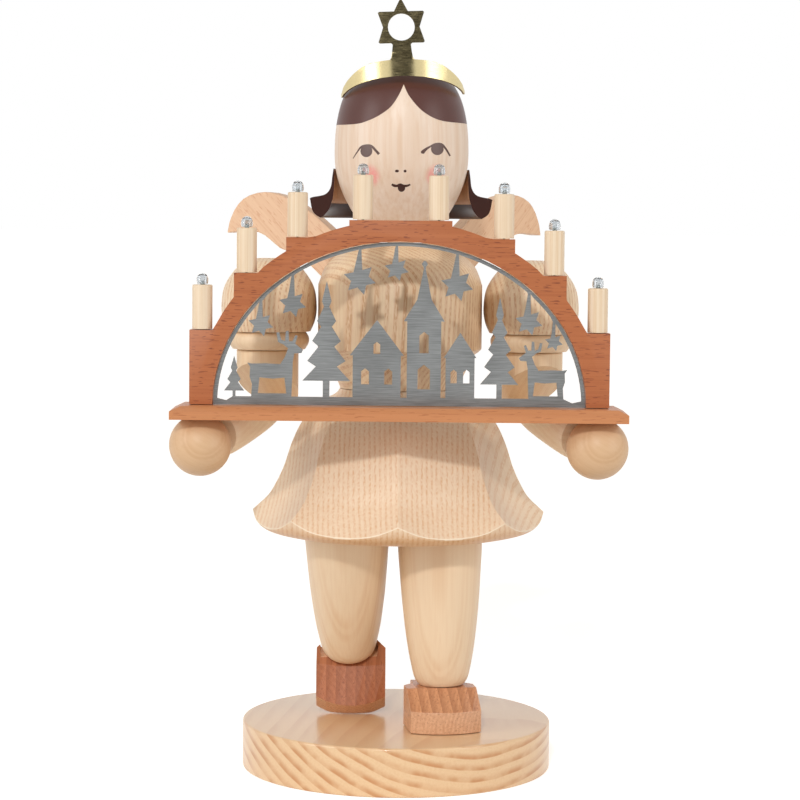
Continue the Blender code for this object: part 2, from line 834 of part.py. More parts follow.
def arc_points(size, start, end, steps):
    """Points of the ellipse between two angles in degrees, from +X."""
    points = []
    for i in range(steps + 1):
        angle = math.radians(start + (end - start) * i / steps)
        points.append((size[0] * math.cos(angle), ARCH_FOOT_Z + size[1] * math.sin(angle)))
    return points


def arch_outline():
    """Right half from the foot up over the ledges, then mirrored, then back along the window."""
    right = [(ARCH_HALF, ARCH_FOOT_Z)]
    for step in range(4):
        z = LEDGE_Z[step]
        outer = LEDGE_OUTER_X[step]
        if step:
            right.append((outer, ellipse_z(ARCH_OUT, outer)))
        right.append((outer, z))
        if step == 3:
            break
        inner = LEDGE_INNER_X[step]
        right.append((inner, z))
        following = LEDGE_OUTER_X[step + 1]
        for i in range(1, 5):
            x = inner + (following - inner) * i / 5
            right.append((x, ellipse_z(ARCH_OUT, x)))
    left = [(-x, z) for x, z in reversed(right)]
    window = arc_points(ARCH_IN, 180, 0, 32)
    return right + left + window


def arch():
    frame = sheet("arch_frame", [arch_outline()], ARCH_SHEET, wood("arch_frame", "red_beech"))
    place(frame, (0, ARCH_Y, 0))
    combine(frame, tube("groove", groove_line(), GROOVE_RADIUS, 6))
    for index, (start, end) in enumerate(riser_lines(4.0)):
        combine(frame, tube("riser_bore_%d" % (index + 1), (start, end), GROOVE_RADIUS, 6))


def groove_y():
    return ARCH_Y + ARCH_SHEET / 2 - GROOVE_DEPTH


def groove_line():
    """Line of the groove behind the arch, from the left foot to the last lamp on the right."""
    line = [(x, groove_y(), z) for x, z in arc_points(GROOVE_LINE, 180, 18, 18)]
    return [(-GROOVE_LINE[0], groove_y(), ARCH_FOOT_Z - 1.0), *line]


def riser_lines(rise):
    """Straight bores from the groove up to the middle of each candle."""
    lines = []
    for hand in (-1, 1):
        for x, z in zip(CANDLE_X, LEDGE_Z):
            low_x = min(0.97 * x, 0.95 * GROOVE_LINE[0])
            low_z = ellipse_z(GROOVE_LINE, low_x)
            start = Vector((hand * low_x, groove_y(), low_z))
            end = Vector((hand * x, ARCH_Y, z))
            lines.append((start, end + (end - start).normalized() * rise))
    return lines


def board():
    skin = wood("arch_board", "red_beech")
    low_z = BOARD_BOTTOM_Z
    edge_z = BOARD_TOP_Z - BOARD_CHAMFER
    rings = []
    top = (BOARD_TOP_Z, BOARD_CHAMFER, BOARD_END_CHAMFER)
    for z, front, end in ((low_z, 0, 0), (edge_z, 0, 0), top):
        x = BOARD_HALF_LENGTH - end
        rings.append([
            (-x, BOARD_FRONT_Y + front, z),
            (x, BOARD_FRONT_Y + front, z),
            (x, BOARD_BACK_Y, z),
            (-x, BOARD_BACK_Y, z),
        ])
    obj = loft("arch_board", rings, skin)
    combine(obj, tube("lead_bore", lead_entry(2.0, 2.0), LEAD_BORE, 6))
    place_on_edge = (-GROOVE_LINE[0], BOARD_BACK_Y, BOARD_BORE_Z)
    deep = GLAND_DEPTH
    bore = [(0, deep), (GLAND_SEAT, deep), (GLAND_SEAT, -deep), (0, -deep)]
    seat = turned("gland_seat", bore, 16)
    place(seat, place_on_edge, direction=(0, 1, 0))
    combine(obj, seat)
    profile = [
        (GLAND_BORE, 0.5 * deep),
        (GLAND_SEAT, 0.5 * deep),
        (GLAND_RADIUS, 0.3 * deep),
        (GLAND_RADIUS, GAP),
        (GLAND_NECK, GAP),
        (GLAND_NECK, GAP - deep),
        (GLAND_BORE, GAP - deep),
    ]
    black = material("lead_gland_black", (0.02, 0.02, 0.02), 0.5)
    gland = turned("lead_gland", profile, 16, black, ring=True)
    place(gland, place_on_edge, direction=(0, 1, 0))


def lead_entry(beyond, rise):
    """Line of the lead from the board's back edge to the arch's left foot."""
    x = -GROOVE_LINE[0]
    return [
        (x, BOARD_BACK_Y + beyond, BOARD_BORE_Z),
        (x, groove_y(), BOARD_BORE_Z),
        (x, groove_y(), ARCH_FOOT_Z + rise),
    ]


def wiring():
    skin = material("wiring_loom_clear", (0.55, 0.50, 0.42), 0.4)
    line = lead_entry(-0.6, 0.0)[:2] + groove_line()[1:]
    loom = tube("wiring_loom", line, LEAD_RADIUS, 6, skin)
    for index, (start, end) in enumerate(riser_lines(1.0)):
        top = end + Vector((0, 0, RISER_TOP + 0.1 * index))
        riser = tube("riser_%d" % (index + 1), (start, end, top), RISER_RADIUS, 5)
        combine(loom, riser, "UNION")


def groove_cover():
    """Thin strip that closes the groove at the back."""
    half = COVER_WIDTH / 2
    outer = arc_points((GROOVE_LINE[0] + half, GROOVE_LINE[1] + half), 180, 14, 22)
    inner = arc_points((GROOVE_LINE[0] - half, GROOVE_LINE[1] - half), 14, 180, 22)
    skin = wood("groove_cover", "pale_beech")
    strip = sheet("groove_cover", [outer + inner], COVER_SHEET, skin)
    place(strip, (0, ARCH_Y + ARCH_SHEET / 2 + GAP + COVER_SHEET / 2, 0))


def candles_and_lamps():
    """Each candle is bored through for its lamp's leads."""
    index = 0
    places = [(-x, z) for x, z in zip(CANDLE_X, LEDGE_Z)]
    places += [(x, z) for x, z in reversed(list(zip(CANDLE_X, LEDGE_Z)))]
    for x, ledge in places:
        index += 1
        foot = (x, ARCH_Y, ledge + GAP)
        height = CANDLE_HEIGHT - GAP
        profile = [
            (CANDLE_BORE, height),
            (CANDLE_RADIUS - 0.5, height),
            (CANDLE_RADIUS, height - 0.5),
            (CANDLE_RADIUS, 0),
            (CANDLE_BORE, 0),
        ]
        name = "candle_%d" % index
        place(turned(name, profile, 12, wood(name, "lime"), ring=True), foot)
        lamp(index, (x, ARCH_Y, ledge + CANDLE_HEIGHT))


def lamp(index, top):
    """Glass bulb standing on the candle, and its mount with bead, leads and filament."""
    tall = BULB_HEIGHT
    r = BULB_RADIUS
    w = BULB_WALL
    outside = [
        (0, tall),
        (0.45 * r, tall - 0.12 * r),
        (0.80 * r, tall - 0.42 * r),
        (r, tall - r),
        (r, BULB_NECK),
        (0.90 * r, GAP),
    ]
    inside = [
        (0.90 * r - w, GAP),
        (r - w, BULB_NECK),
        (r - w, tall - r),
        (0.80 * r - w, tall - 0.42 * r - 0.5 * w),
        (0, tall - 0.12 * r - w),
    ]
    glass = material("bulb_%d_glass" % index, (0.95, 0.98, 0.96), 0.03, 0.0, 1.0)
    place(turned("bulb_%d" % index, outside + inside, 10, glass), top)

    bead = material("lamp_mount_%d_glass" % index, (0.45, 0.55, 0.52), 0.3)
    stem = [
        (0, MOUNT_RISE),
        (0.8 * MOUNT_RADIUS, 0.8 * MOUNT_RISE),
        (MOUNT_RADIUS, 0.5 * MOUNT_RISE),
        (MOUNT_RADIUS, -MOUNT_DEPTH),
        (0, -MOUNT_DEPTH),
    ]
    mount = turned("lamp_mount_%d" % index, stem, 8, bead)
    place(mount, top)
    foot = Vector((0.4 * MOUNT_RADIUS, 0, 0.4 * MOUNT_RISE))
    bend = Vector((MOUNT_RADIUS, 0.05, FILAMENT_RISE))
    line = [mirror_x(foot), mirror_x(bend), bend, foot]
    line = [Vector(top) + point for point in line]
    combine(mount, tube("filament_%d" % index, line, FILAMENT_RADIUS, 4), "UNION")


def mirror_x(point):
    return Vector((-point.x, -point.y, point.z))


def fir(x, height, width, tiers):
    """Skyline points of a fir tree with its foot on the ground, from left to right."""
    trunk = 0.07 * width
    foot = 0.14 * height
    left = [(x - trunk, 0.0), (x - trunk, foot)]
    for tier in range(tiers):
        low = foot + (height - foot) * tier / tiers
        reach = width / 2 * (1 - tier / tiers)
        left.append((x - reach, low))
        if tier < tiers - 1:
            inset = 0.55 * reach * (tiers - tier - 1) / (tiers - tier)
            left.append((x - inset, low + 0.72 * (height - foot) / tiers))
    return left + [(x, height)] + [(2 * x - px, pz) for px, pz in reversed(left)]


def house(x, width, wall, roof, eave):
    """Skyline points of a house with a pitched roof, from left to right."""
    half = width / 2
    return [
        (x - half, 0.0),
        (x - half, wall),
        (x - half - eave, wall),
        (x, wall + roof),
        (x + half + eave, wall),
        (x + half, wall),
        (x + half, 0.0),
    ]


def tower(x, width, wall, spire):
    """Skyline points of a tower with a steep spire and a ball on top."""
    half = width / 2
    top = wall + spire
    neck = 0.6
    ball_out = 1.6
    left = [
        (x - half, 0.0),
        (x - half, wall),
        (x - 1.2 * half, wall),
        (x - 0.42 * half, wall + 0.4 * spire),
        (x - neck, top - ball_out),
        (x - neck, top),
        (x - ball_out, top + ball_out),
        (x - neck, top + 2 * ball_out),
    ]
    return left + [(2 * x - px, pz) for px, pz in reversed(left)]


def deer(x, size, hand):
    """Skyline points of a standing deer, and the opening under its belly."""
    body = [
        (-5.6, 0.0), (-5.4, 3.2), (-6.0, 5.0), (-5.9, 7.6), (-6.6, 8.6), (-5.4, 8.4),
        (-2.0, 8.5), (1.8, 8.3), (3.0, 10.2), (3.8, 12.4), (2.6, 13.4), (1.2, 14.0),
        (0.8, 16.4), (1.5, 16.5), (2.0, 14.6), (3.0, 14.2), (3.2, 16.8), (3.9, 16.9),
        (4.0, 14.2), (4.9, 14.2), (5.6, 15.8), (6.2, 15.6), (5.6, 13.6), (7.6, 12.0),
        (7.2, 11.2), (5.4, 11.1), (5.0, 8.8), (4.9, 5.2), (4.7, 0.0),
    ]
    belly = [(-3.9, 0.8), (-3.5, 4.9), (0.0, 4.6), (2.9, 4.9), (3.4, 0.8)]
    skyline = [(x + hand * size * px, size * pz) for px, pz in body]
    if hand < 0:
        skyline.reverse()
    return skyline, [(x + hand * size * px, size * pz) for px, pz in belly]


def hanging_star(x, rim_z, drop, radius, stem):
    """Points of a six-pointed star on a stem under the rim, from right to left."""
    centre = rim_z - drop
    points = [(x + stem, rim_z)]
    for i in range(12):
        angle = PI / 2 - (i + 0.5) * PI / 6
        size = radius if i % 2 else 0.55 * radius
        points.append((x + size * math.cos(angle), centre + size * math.sin(angle)))
    points.append((x - stem, rim_z))
    return points


def splice(line, x, item, spare):
    """Replaces the points of a right-to-left line near x by the item's points."""
    before = [point for point in line if point[0] > x + spare]
    after = [point for point in line if point[0] < x - spare]
    return before + item + after


def village():
    """Skyline of the village and its small openings, in hundredths of the window's half width."""
    left_deer, left_belly = deer(-67.6, 2.09, 1)
    right_deer, right_belly = deer(77.7, 1.82, -1)
    skyline = fir(-88.5, 21.6, 10.8, 3)
    skyline += left_deer
    skyline += fir(-39.2, 62.0, 25.6, 5)
    skyline += house(-12.2, 25.7, 22.5, 19.0, 1.6)
    skyline += tower(13.0, 18.2, 41.0, 29.0)
    skyline += house(32.4, 15.5, 21.6, 13.5, 1.0)
    skyline += fir(53.4, 54.0, 20.4, 5)
    skyline += right_deer
    return skyline, [left_belly, right_belly, *windows()]


def windows():
    """Small openings of the houses and the tower."""
    holes = []
    for x, z, width, height in (
        (-18.4, 7.0, 4.2, 7.0),
        (-6.0, 7.0, 4.2, 7.0),
        (-12.2, 23.4, 3.6, 5.0),
        (13.0, 24.0, 5.0, 9.4),
        (13.0, 4.6, 6.6, 10.6),
        (29.0, 8.0, 3.4, 6.0),
        (35.8, 8.0, 3.4, 6.0),
    ):
        half = width / 2
        holes.append([
            (x - half, z),
            (x + half, z),
            (x + half, z + height),
            (x, z + height + 0.4 * width),
            (x - half, z + height),
        ])
    return holes


def panel_outlines():
    """Border, sky and small openings of the cut sheet, in (x, z)."""
    rim = (ARCH_IN[0] - GAP, ARCH_IN[1] - GAP)
    inner = (rim[0] - PANEL_RIM, rim[1] - PANEL_RIM)
    unit = ARCH_IN[0] / 100
    ground = ARCH_FOOT_Z + PANEL_SILL
    stem = 0.7 * unit
    sky = arc_points(inner, 2.2, 177.8, 60)
    stars = (
        (82.4, 10.8, 4.9),
        (68.9, 14.9, 7.4),
        (30.4, 16.2, 8.8),
        (-2.0, 12.2, 6.6),
        (-21.6, 15.5, 8.8),
        (-57.4, 14.9, 7.4),
        (-74.3, 12.2, 6.8),
    )
    for x, drop, radius in stars:
        rim_z = ellipse_z(inner, x * unit)
        star = hanging_star(x * unit, rim_z, drop * unit, radius * unit, stem)
        sky = splice(sky, x * unit, star, stem)
    skyline, openings = village()
    corner = (0.95 * inner[0], ground - 0.5 * PANEL_SILL)
    sky = [(-corner[0], corner[1]), *placed(skyline, unit, ground), corner, *sky]
    holes = [placed(opening, unit, ground) for opening in openings]
    return [arc_points(rim, 180, 0, 48), sky, *holes]


def placed(points, unit, ground):
    return [(x * unit, ground + z * unit) for x, z in points]


def panel():
    """Sheet of steel in the window: a winter village under hanging stars, in one piece."""
    steel = material("silhouette_panel_steel", (0.20, 0.215, 0.215), 0.42, 1.0)
    obj = sheet("silhouette_panel", panel_outlines(), PANEL_SHEET, steel)
    place(obj, (0, ARCH_Y - PANEL_FORWARD, 0))


base_plate()
shoes()
bell = skirt()
legs(bell)
torso()
wings()
sleeves_and_cuffs()
arms()
head()
hair_ring()
crown()
board()
arch()
wiring()
groove_cover()
candles_and_lamps()
panel()
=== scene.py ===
import math

import bmesh
import bpy
from mathutils import Matrix, Vector


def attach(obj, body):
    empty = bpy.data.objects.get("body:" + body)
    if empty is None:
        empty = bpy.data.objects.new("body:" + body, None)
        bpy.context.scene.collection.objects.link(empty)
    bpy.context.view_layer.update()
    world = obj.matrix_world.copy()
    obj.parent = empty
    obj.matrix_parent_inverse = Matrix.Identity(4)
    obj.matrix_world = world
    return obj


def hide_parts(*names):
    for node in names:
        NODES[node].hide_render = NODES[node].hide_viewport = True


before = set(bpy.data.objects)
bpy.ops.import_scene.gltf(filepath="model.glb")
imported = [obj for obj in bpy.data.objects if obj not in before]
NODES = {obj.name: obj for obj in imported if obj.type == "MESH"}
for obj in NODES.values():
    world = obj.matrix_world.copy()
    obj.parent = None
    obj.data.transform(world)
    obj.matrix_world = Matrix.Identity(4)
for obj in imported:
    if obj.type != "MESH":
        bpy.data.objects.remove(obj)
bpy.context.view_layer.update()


# Round plate of pine that carries the figure, turned on a lathe with both arrises rounded, and lacquered.
# Its growth rings run down over the rim to the right; the top is cut nearly flat to them and looks plain.
MM = 0.001
PI = math.pi
PLATE_R, PLATE_H, PLATE_ROUND = 65.0, 20.0, 1.0


def colour(code):
    """A colour written as six hex digits, turned into linear light."""
    parts = [int(code[i:i + 2], 16) / 255 for i in (0, 2, 4)]
    return tuple(((c + 0.055) / 1.055) ** 2.4 if c > 0.04045 else c / 12.92 for c in parts) + (1.0,)


class Skin:
    """A material under construction. Its patterns lie in the piece's own coordinates."""

    def __init__(self, name):
        self.material = bpy.data.materials.new(name)
        self.material.use_nodes = True
        self.tree = self.material.node_tree
        self.shader = self.tree.nodes["Principled BSDF"]
        self.place = self.add("ShaderNodeTexCoord").outputs["Object"]
        self.shade = None

    def put(self, node, key, value):
        if isinstance(value, bpy.types.NodeSocket):
            self.tree.links.new(value, node.inputs[key])
        else:
            node.inputs[key].default_value = value

    def add(self, kind, inputs=None, **settings):
        node = self.tree.nodes.new(kind)
        for key, value in settings.items():
            setattr(node, key, value)
        for key, value in (inputs or {}).items():
            self.put(node, key, value)
        return node

    def set(self, **inputs):
        for key, value in inputs.items():
            self.put(self.shader, key.replace("_", " "), value)
        return self

    def mapped(self, place, turn, scale):
        """The piece's coordinates moved by a place in millimetres, turned by degrees, then scaled."""
        shift = tuple(-v * MM for v in place)
        angles = tuple(math.radians(v) for v in turn)
        moved = self.add("ShaderNodeMapping", {"Vector": self.place, "Location": shift})
        lying = self.add("ShaderNodeMapping", {"Vector": moved.outputs[0], "Rotation": angles})
        return self.add("ShaderNodeMapping", {"Vector": lying.outputs[0], "Scale": scale}).outputs[0]

    def noise(self, vector, scale=1.0, detail=2.0, rough=0.5):
        return self.add("ShaderNodeTexNoise", {
            "Vector": vector, "Scale": scale, "Detail": detail, "Roughness": rough,
        }).outputs[0]

    def math(self, operation, first, second=0.0):
        return self.add("ShaderNodeMath", {0: first, 1: second}, operation=operation).outputs[0]

    def spread(self, value, low, high, to_low=0.0, to_high=1.0):
        """Carries a value from one range smoothly over to another."""
        return self.add("ShaderNodeMapRange", {
            "Value": value, "From Min": low, "From Max": high, "To Min": to_low, "To Max": to_high,
        }, interpolation_type="SMOOTHSTEP").outputs[0]

    def facing(self, direction, low, high):
        """From 0 to 1 as the surface comes to look along a direction."""
        normal = self.add("ShaderNodeNewGeometry").outputs["Normal"]
        aim = Vector(direction).normalized()
        towards = self.add("ShaderNodeVectorMath", {0: normal, 1: aim}, operation="DOT_PRODUCT")
        return self.spread(towards.outputs["Value"], low, high)

    def tint(self, share, code, blend="MIX"):
        """Lays a colour over the wood or paint so far, by a share from 0 to 1."""
        layers = {0: share, 6: self.shade, 7: colour(code)}
        self.shade = self.add("ShaderNodeMix", layers, data_type="RGBA", blend_type=blend).outputs[2]
        self.put(self.shader, "Base Color", self.shade)
        return self

    def bump(self, height, strength, distance):
        node = self.add("ShaderNodeBump", {"Strength": strength, "Distance": distance, "Height": height})
        self.put(self.shader, "Normal", node.outputs[0])
        return self


# Cells of noise to the metre, for streaks and pores: twice across the grain, then along it.
BROAD_STREAKS = (130.0, 130.0, 4.0)
FINE_STREAKS = (1000.0, 1000.0, 14.0)
PORE_MARKS = (1900.0, 1900.0, 420.0)
# The share of its cell that a fleck of beech takes up, the rings to the metre of a plain wave texture,
# and how much the rings wander along the grain, as a share of how they do across it.
FLECK_FILL = 0.55
WAVES_PER_UNIT = 20 / (2 * PI)
RING_DRIFT = 0.04


def wood(name, light, dark, pith=(0, 0, 0), turn=(0, 0, 0), ring=2.0, wander=0.4, contrast=0.5, streak=0.15,
         pores=None, flecks=None, rough=0.45, saw=False, **finish):
    """Solid wood: grain along Z after the turn, and growth rings about a line through the pith.
    Pores (share, colour) are the short marks in each ring of ash.
    Flecks (share, colour, length, width, level) are the scattered dashes of beech."""
    skin = Skin(name)
    skin.shade = colour(light)
    shake = skin.noise(skin.mapped(pith, turn, BROAD_STREAKS))
    wave = skin.add("ShaderNodeTexWave", {
        "Vector": skin.mapped(pith, turn, (1.0, 1.0, RING_DRIFT)), "Scale": 1 / (WAVES_PER_UNIT * ring * MM),
        "Distortion": 3.0 * wander, "Detail": 2.0, "Detail Scale": 0.18 * ring, "Detail Roughness": 0.5,
    }, wave_type="RINGS", rings_direction="Z", wave_profile="SAW" if saw else "SIN").outputs[1]
    rings = skin.math("MULTIPLY", skin.spread(wave, 0.30, 0.90), skin.spread(wave, 1.0, 0.93, 0.3, 1.0))
    skin.tint(skin.math("MULTIPLY", rings, skin.spread(shake, 0.35, 0.65, 0.35 * contrast, contrast)), dark)
    lines = skin.noise(skin.mapped(pith, turn, FINE_STREAKS), 1.0, 3.0, 0.65)
    skin.tint(skin.spread(lines, 0.38, 0.68, 0.0, streak), dark)
    if pores:
        share, code = pores
        marks = skin.noise(skin.mapped(pith, turn, PORE_MARKS), 1.0, 1.0, 0.3)
        early = skin.spread(wave, 0.55, 0.90, 0.12, 1.0)
        skin.tint(skin.math("MULTIPLY", early, skin.spread(marks, 0.44, 0.60, 0.0, share)), code)
    if flecks:
        share, code, length, width, level = flecks
        cells = tuple(FLECK_FILL / (size * MM) for size in (width, width, length))
        marks = skin.noise(skin.mapped(pith, turn, cells), 1.0, 1.0, 0.3)
        skin.tint(skin.spread(marks, level, level + 0.04, 0.0, share), code)
    skin.set(Roughness=rough, **finish)
    return skin.bump(lines, 0.06, 0.0002)


def make_piece(name, shape, skins, nodes=(), sharp=35.0):
    mesh = bpy.data.meshes.new(name)
    bmesh.ops.recalc_face_normals(shape, faces=shape.faces)
    shape.to_mesh(mesh)
    shape.free()
    mesh.shade_smooth()
    mesh.set_sharp_from_angle(angle=math.radians(sharp))
    for skin in skins:
        mesh.materials.append(skin.material)
    piece = bpy.data.objects.new(name, mesh)
    bpy.context.scene.collection.objects.link(piece)
    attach(piece, "root")
    for node in nodes:
        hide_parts(node)
    return piece


def turned(profile, steps, place=(0, 0, 0), axis=(0, 0, 1), ring=False):
    """A (radius, height) profile in millimetres spun about its axis, as on a lathe."""
    shape = bmesh.new()
    verts = [shape.verts.new((r * MM, 0, z * MM)) for r, z in profile]
    edges = [shape.edges.new(pair) for pair in zip(verts, verts[1:])]
    if ring:
        edges.append(shape.edges.new((verts[-1], verts[0])))
    bmesh.ops.spin(
        shape, geom=verts + edges, cent=(0, 0, 0), axis=(0, 0, 1), angle=2 * PI, steps=steps, use_merge=True,
    )
    bmesh.ops.remove_doubles(shape, verts=shape.verts, dist=1e-6)
    lean = Vector((0, 0, 1)).rotation_difference(Vector(axis)).to_matrix().to_4x4()
    bmesh.ops.transform(shape, matrix=Matrix.Translation(Vector(place) * MM) @ lean, verts=shape.verts)
    return shape


def rounded(radius, top, size, steps):
    """The quarter round between a top face and a side, as (radius, height) points."""
    angles = [PI / 2 * i / steps for i in range(steps + 1)]
    return [(radius + size * (math.sin(a) - 1), top + size * (math.cos(a) - 1)) for a in angles]


pine = wood("plate_pine", "EBC99E", "C68953", pith=(45, 0, 140), turn=(84, 0, 5), ring=4.6, wander=0.45,
            contrast=0.90, streak=0.12, rough=0.32, saw=True, Coat_Weight=0.30, Coat_Roughness=0.12)
pine.tint(pine.math("MULTIPLY", pine.facing((0, 0, 1), 0.6, 0.9), 0.65), "E6C69E")
upper = rounded(PLATE_R, PLATE_H, PLATE_ROUND, 6)
lower = [(r, PLATE_H - z) for r, z in reversed(upper)]
shape = turned([(0, PLATE_H), *upper, *lower, (0, 0)], 128)
make_piece("plate", shape, [pine], ["base_plate"])


# Legs of lime, turned to a long taper. The standing leg is nearly upright and ends on its shoe;
# the other slants back to the raised shoe, where its end sits in a recess.
def smooth_line(points, steps):
    """A smooth curve through points, with so many steps from one to the next."""
    ends = [points[0], *points, points[-1]]
    line = []
    for a, b, c, d in zip(ends, ends[1:], ends[2:], ends[3:]):
        for step in range(steps):
            t = step / steps
            line.append(tuple(
                0.5 * (2 * q + (r - p) * t + (2 * p - 5 * q + 4 * r - s) * t * t
                       + (3 * q - p - 3 * r + s) * t ** 3)
                for p, q, r, s in zip(a, b, c, d)
            ))
    line.append(tuple(points[-1]))
    return line


def cut(shape, point, normal):
    """Takes away what lies on the side the normal points to, and closes the cut."""
    made = bmesh.ops.bisect_plane(
        shape, geom=shape.verts[:] + shape.edges[:] + shape.faces[:], dist=1e-7,
        plane_co=Vector(point) * MM, plane_no=Vector(normal), clear_outer=True,
    )
    edges = [item for item in made["geom_cut"] if isinstance(item, bmesh.types.BMEdge)]
    bmesh.ops.holes_fill(shape, edges=edges, sides=0)
    return shape


LEG_LENGTH, LEG_TOP_Z = 68.0, 104.3
leg_line = smooth_line([
    (17.9, LEG_LENGTH), (17.6, 58.5), (17.2, 51.0), (15.9, 33.1), (14.1, 17.2), (12.2, 6.5), (11.0, 2.3),
    (9.6, 0.25),
], 4) + [(9.3, 0.0)]
for side, foot_at, aim, pith, turn in (
    ("right", Vector((18.72, -13.0, 37.1)), Vector((17.5, -13.0, 99.4)), (19, 22, 60), (-3, 0, 0)),
    ("left", Vector((-20.5, 8.78, 46.28)), Vector((-21.2, -14.2, 99.4)), (-20, 36, 60), (-24, 0, 0)),
):
    shape = turned([(0, LEG_LENGTH), *leg_line, (0, 0)], 96, foot_at, aim - foot_at)
    cut(shape, (0, 0, LEG_TOP_Z), (0, 0, 1))
    lime = wood(side + "_leg_lime", "EBD2B1", "CC9763", pith=pith, turn=turn, ring=3.3, wander=0.25,
                contrast=0.22, streak=0.10, rough=0.40)
    make_piece(side + "_leg_turning", shape, [lime], [side + "_leg"])


# Shoes of steamed beech, sawn from the block, the instep pared in strips, tinted darker than the toe and
# given painted shade across each strip.
# The right one is glued down by its sole and the left one by its trimmed toe; the corners are eased.
STRIP, STRIPS_ASIDE = 4.2, 20.5
FLAT_WITHIN = math.radians(1.0)


def eased(node, name, skin, width, angle, sharp):
    """The node's own shape, merged to plain faces, with its edges over an angle taken off by a width."""
    shape = bmesh.new()
    shape.from_mesh(NODES[node].data)
    bmesh.ops.remove_doubles(shape, verts=shape.verts, dist=1e-6)
    bmesh.ops.dissolve_limit(
        shape, angle_limit=FLAT_WITHIN, verts=shape.verts, edges=shape.edges, use_dissolve_boundaries=False,
    )
    if width:
        edges = [e for e in shape.edges if e.is_manifold and e.calc_face_angle() > math.radians(angle)]
        bmesh.ops.bevel(
            shape, geom=edges, offset=width * MM, offset_type="OFFSET", segments=2, profile=0.5,
            affect="EDGES", material=-1, clamp_overlap=True,
        )
    return make_piece(name, shape, [skin], [node], sharp)


for side, toe, toe_turn, pith, grain, slope, tone in (
    ("left", (-19.5, 6.7, 0), 0.0, (-40, 30, 20), (38, 0, 6), (0, -0.98, 0.20), "D8B09A"),
    ("right", (21.3, -37.6, 0), 9.0, (60, -20, 20), (84, 0, 8), (0.07, -0.44, 0.89), "FFF0E4"),
):
    beech = wood(side + "_shoe_beech", "DBAB86", "A96E49", pith=pith, turn=grain, ring=1.6, contrast=0.35,
                 streak=0.30, flecks=(0.4, "8C5738", 2.0, 0.3, 0.64), rough=0.38,
                 Coat_Weight=0.15, Coat_Roughness=0.2)
    pared = beech.facing(slope, 0.80, 0.90)
    # Across each pared strip the colour runs from dark at one edge to light at the other: painted shade and
    # light for the hollow of each cut.
    counted = beech.mapped(toe, (0, 0, -toe_turn), (1 / (STRIP * MM), 1, 1))
    across = beech.add("ShaderNodeSeparateXYZ", {0: counted}).outputs[0]
    strip_shade_across = beech.math("FRACT", beech.math("ADD", across, STRIPS_ASIDE))
    beech.tint(pared, tone, "MULTIPLY")
    beech.tint(beech.math("MULTIPLY", pared, beech.spread(strip_shade_across, 1.0, 0.0, 0.0, 0.45)), "8A5032")
    eased(side + "_shoe", side + "_shoe_block", beech, 0.35, 30, 4)


# Skirt of ash: a bell shaped with eight crisp ridges, its lower edge turned under and round.
# The hem rises to a point at each ridge; its eased arris is coloured pale as a painted highlight, and the
# faces turned down are darker with painted shade.
def bridged(rings):
    """A closed solid through rings of points, with flat ends."""
    shape = bmesh.new()
    rows = []
    for ring in rings:
        verts = [shape.verts.new(Vector(point) * MM) for point in ring]
        rows.append([shape.edges.new((a, b)) for a, b in zip(verts, verts[1:] + verts[:1])])
    for low, high in zip(rows, rows[1:]):
        bmesh.ops.bridge_loops(shape, edges=low + high)
    bmesh.ops.edgeloop_fill(shape, edges=rows[0])
    bmesh.ops.edgeloop_fill(shape, edges=rows[-1])
    return shape


RIDGES, PANEL_STEPS, ROWS, UNDER_ROWS = 8, 12, 44, 10
SKIRT_TOP_Z, RIDGE_FADE = 160.0, 12.0
HEM_R, HEM_Z = 61.5, 108.4
HOLLOW, HEM_HOLLOW = 0.8, 2.2
DEEPER_BELOW_Z, DEEPER_OVER = 124.0, 16.0
HEM_EASE = 0.30
flare = smooth_line([
    (25.0, SKIRT_TOP_Z), (26.6, 157.9), (30.3, 155.7), (35.6, 151.0), (40.8, 145.7), (45.0, 137.0),
    (48.4, 126.7), (52.4, 118.3), (55.6, 113.7), (HEM_R, HEM_Z), (63.6, 106.2), (66.0, 103.8), (69.0, 101.0),
], 10)
under = smooth_line([(HEM_R, HEM_Z), (59.7, 104.0), (56.0, 101.0), (50.0, 99.4)], 12)


def under_radius(z):
    """Radius of the turned under edge at a height."""
    for (r0, z0), (r1, z1) in zip(under, under[1:]):
        if z1 <= z <= z0:
            return r0 + (r1 - r0) * (z0 - z) / max(1e-9, z0 - z1)
    return under[0][0]


def along(line, share):
    """The point that lies a share of the way along a line."""
    place = share * (len(line) - 1)
    i = min(int(place), len(line) - 2)
    return tuple(p + (q - p) * (place - i) for p, q in zip(line[i], line[i + 1]))


panel = 2 * PI / RIDGES
columns = []
for k in range(RIDGES * PANEL_STEPS):
    angle = k * panel / PANEL_STEPS
    offset = (k % PANEL_STEPS) / PANEL_STEPS * panel - panel / 2
    chord = math.cos(panel / 2) / math.cos(offset)
    hollow = 1 - (2 * offset / panel) ** 2
    side = []
    for r, z in flare:
        draw = min(1.0, (SKIRT_TOP_Z - z) / RIDGE_FADE)
        low_down = max(0.0, min(1.0, (DEEPER_BELOW_Z - z) / DEEPER_OVER))
        r = r * (1 + draw * (chord - 1)) - draw * hollow * (HOLLOW + HEM_HOLLOW * low_down * low_down)
        if z < HEM_Z and r >= under_radius(z):
            break
        side.append((r, z))
    hem = side[-1]
    lower = [point for point in under if point[1] < hem[1] - 0.02] or [under[-1]]
    column = [along(side, i / (ROWS - 1)) for i in range(ROWS)]
    column += [along([hem] + lower, i / UNDER_ROWS) for i in range(1, UNDER_ROWS + 1)]
    columns.append([(r * math.cos(angle), r * math.sin(angle), z) for r, z in column])
ash = wood("skirt_ash", "F3DEC3", "D8A873", pith=(170, -44, 0), turn=(0, 1, 0), ring=2.1, wander=0.90,
           contrast=0.26, streak=0.20, pores=(0.42, "D69A55"), rough=0.42)
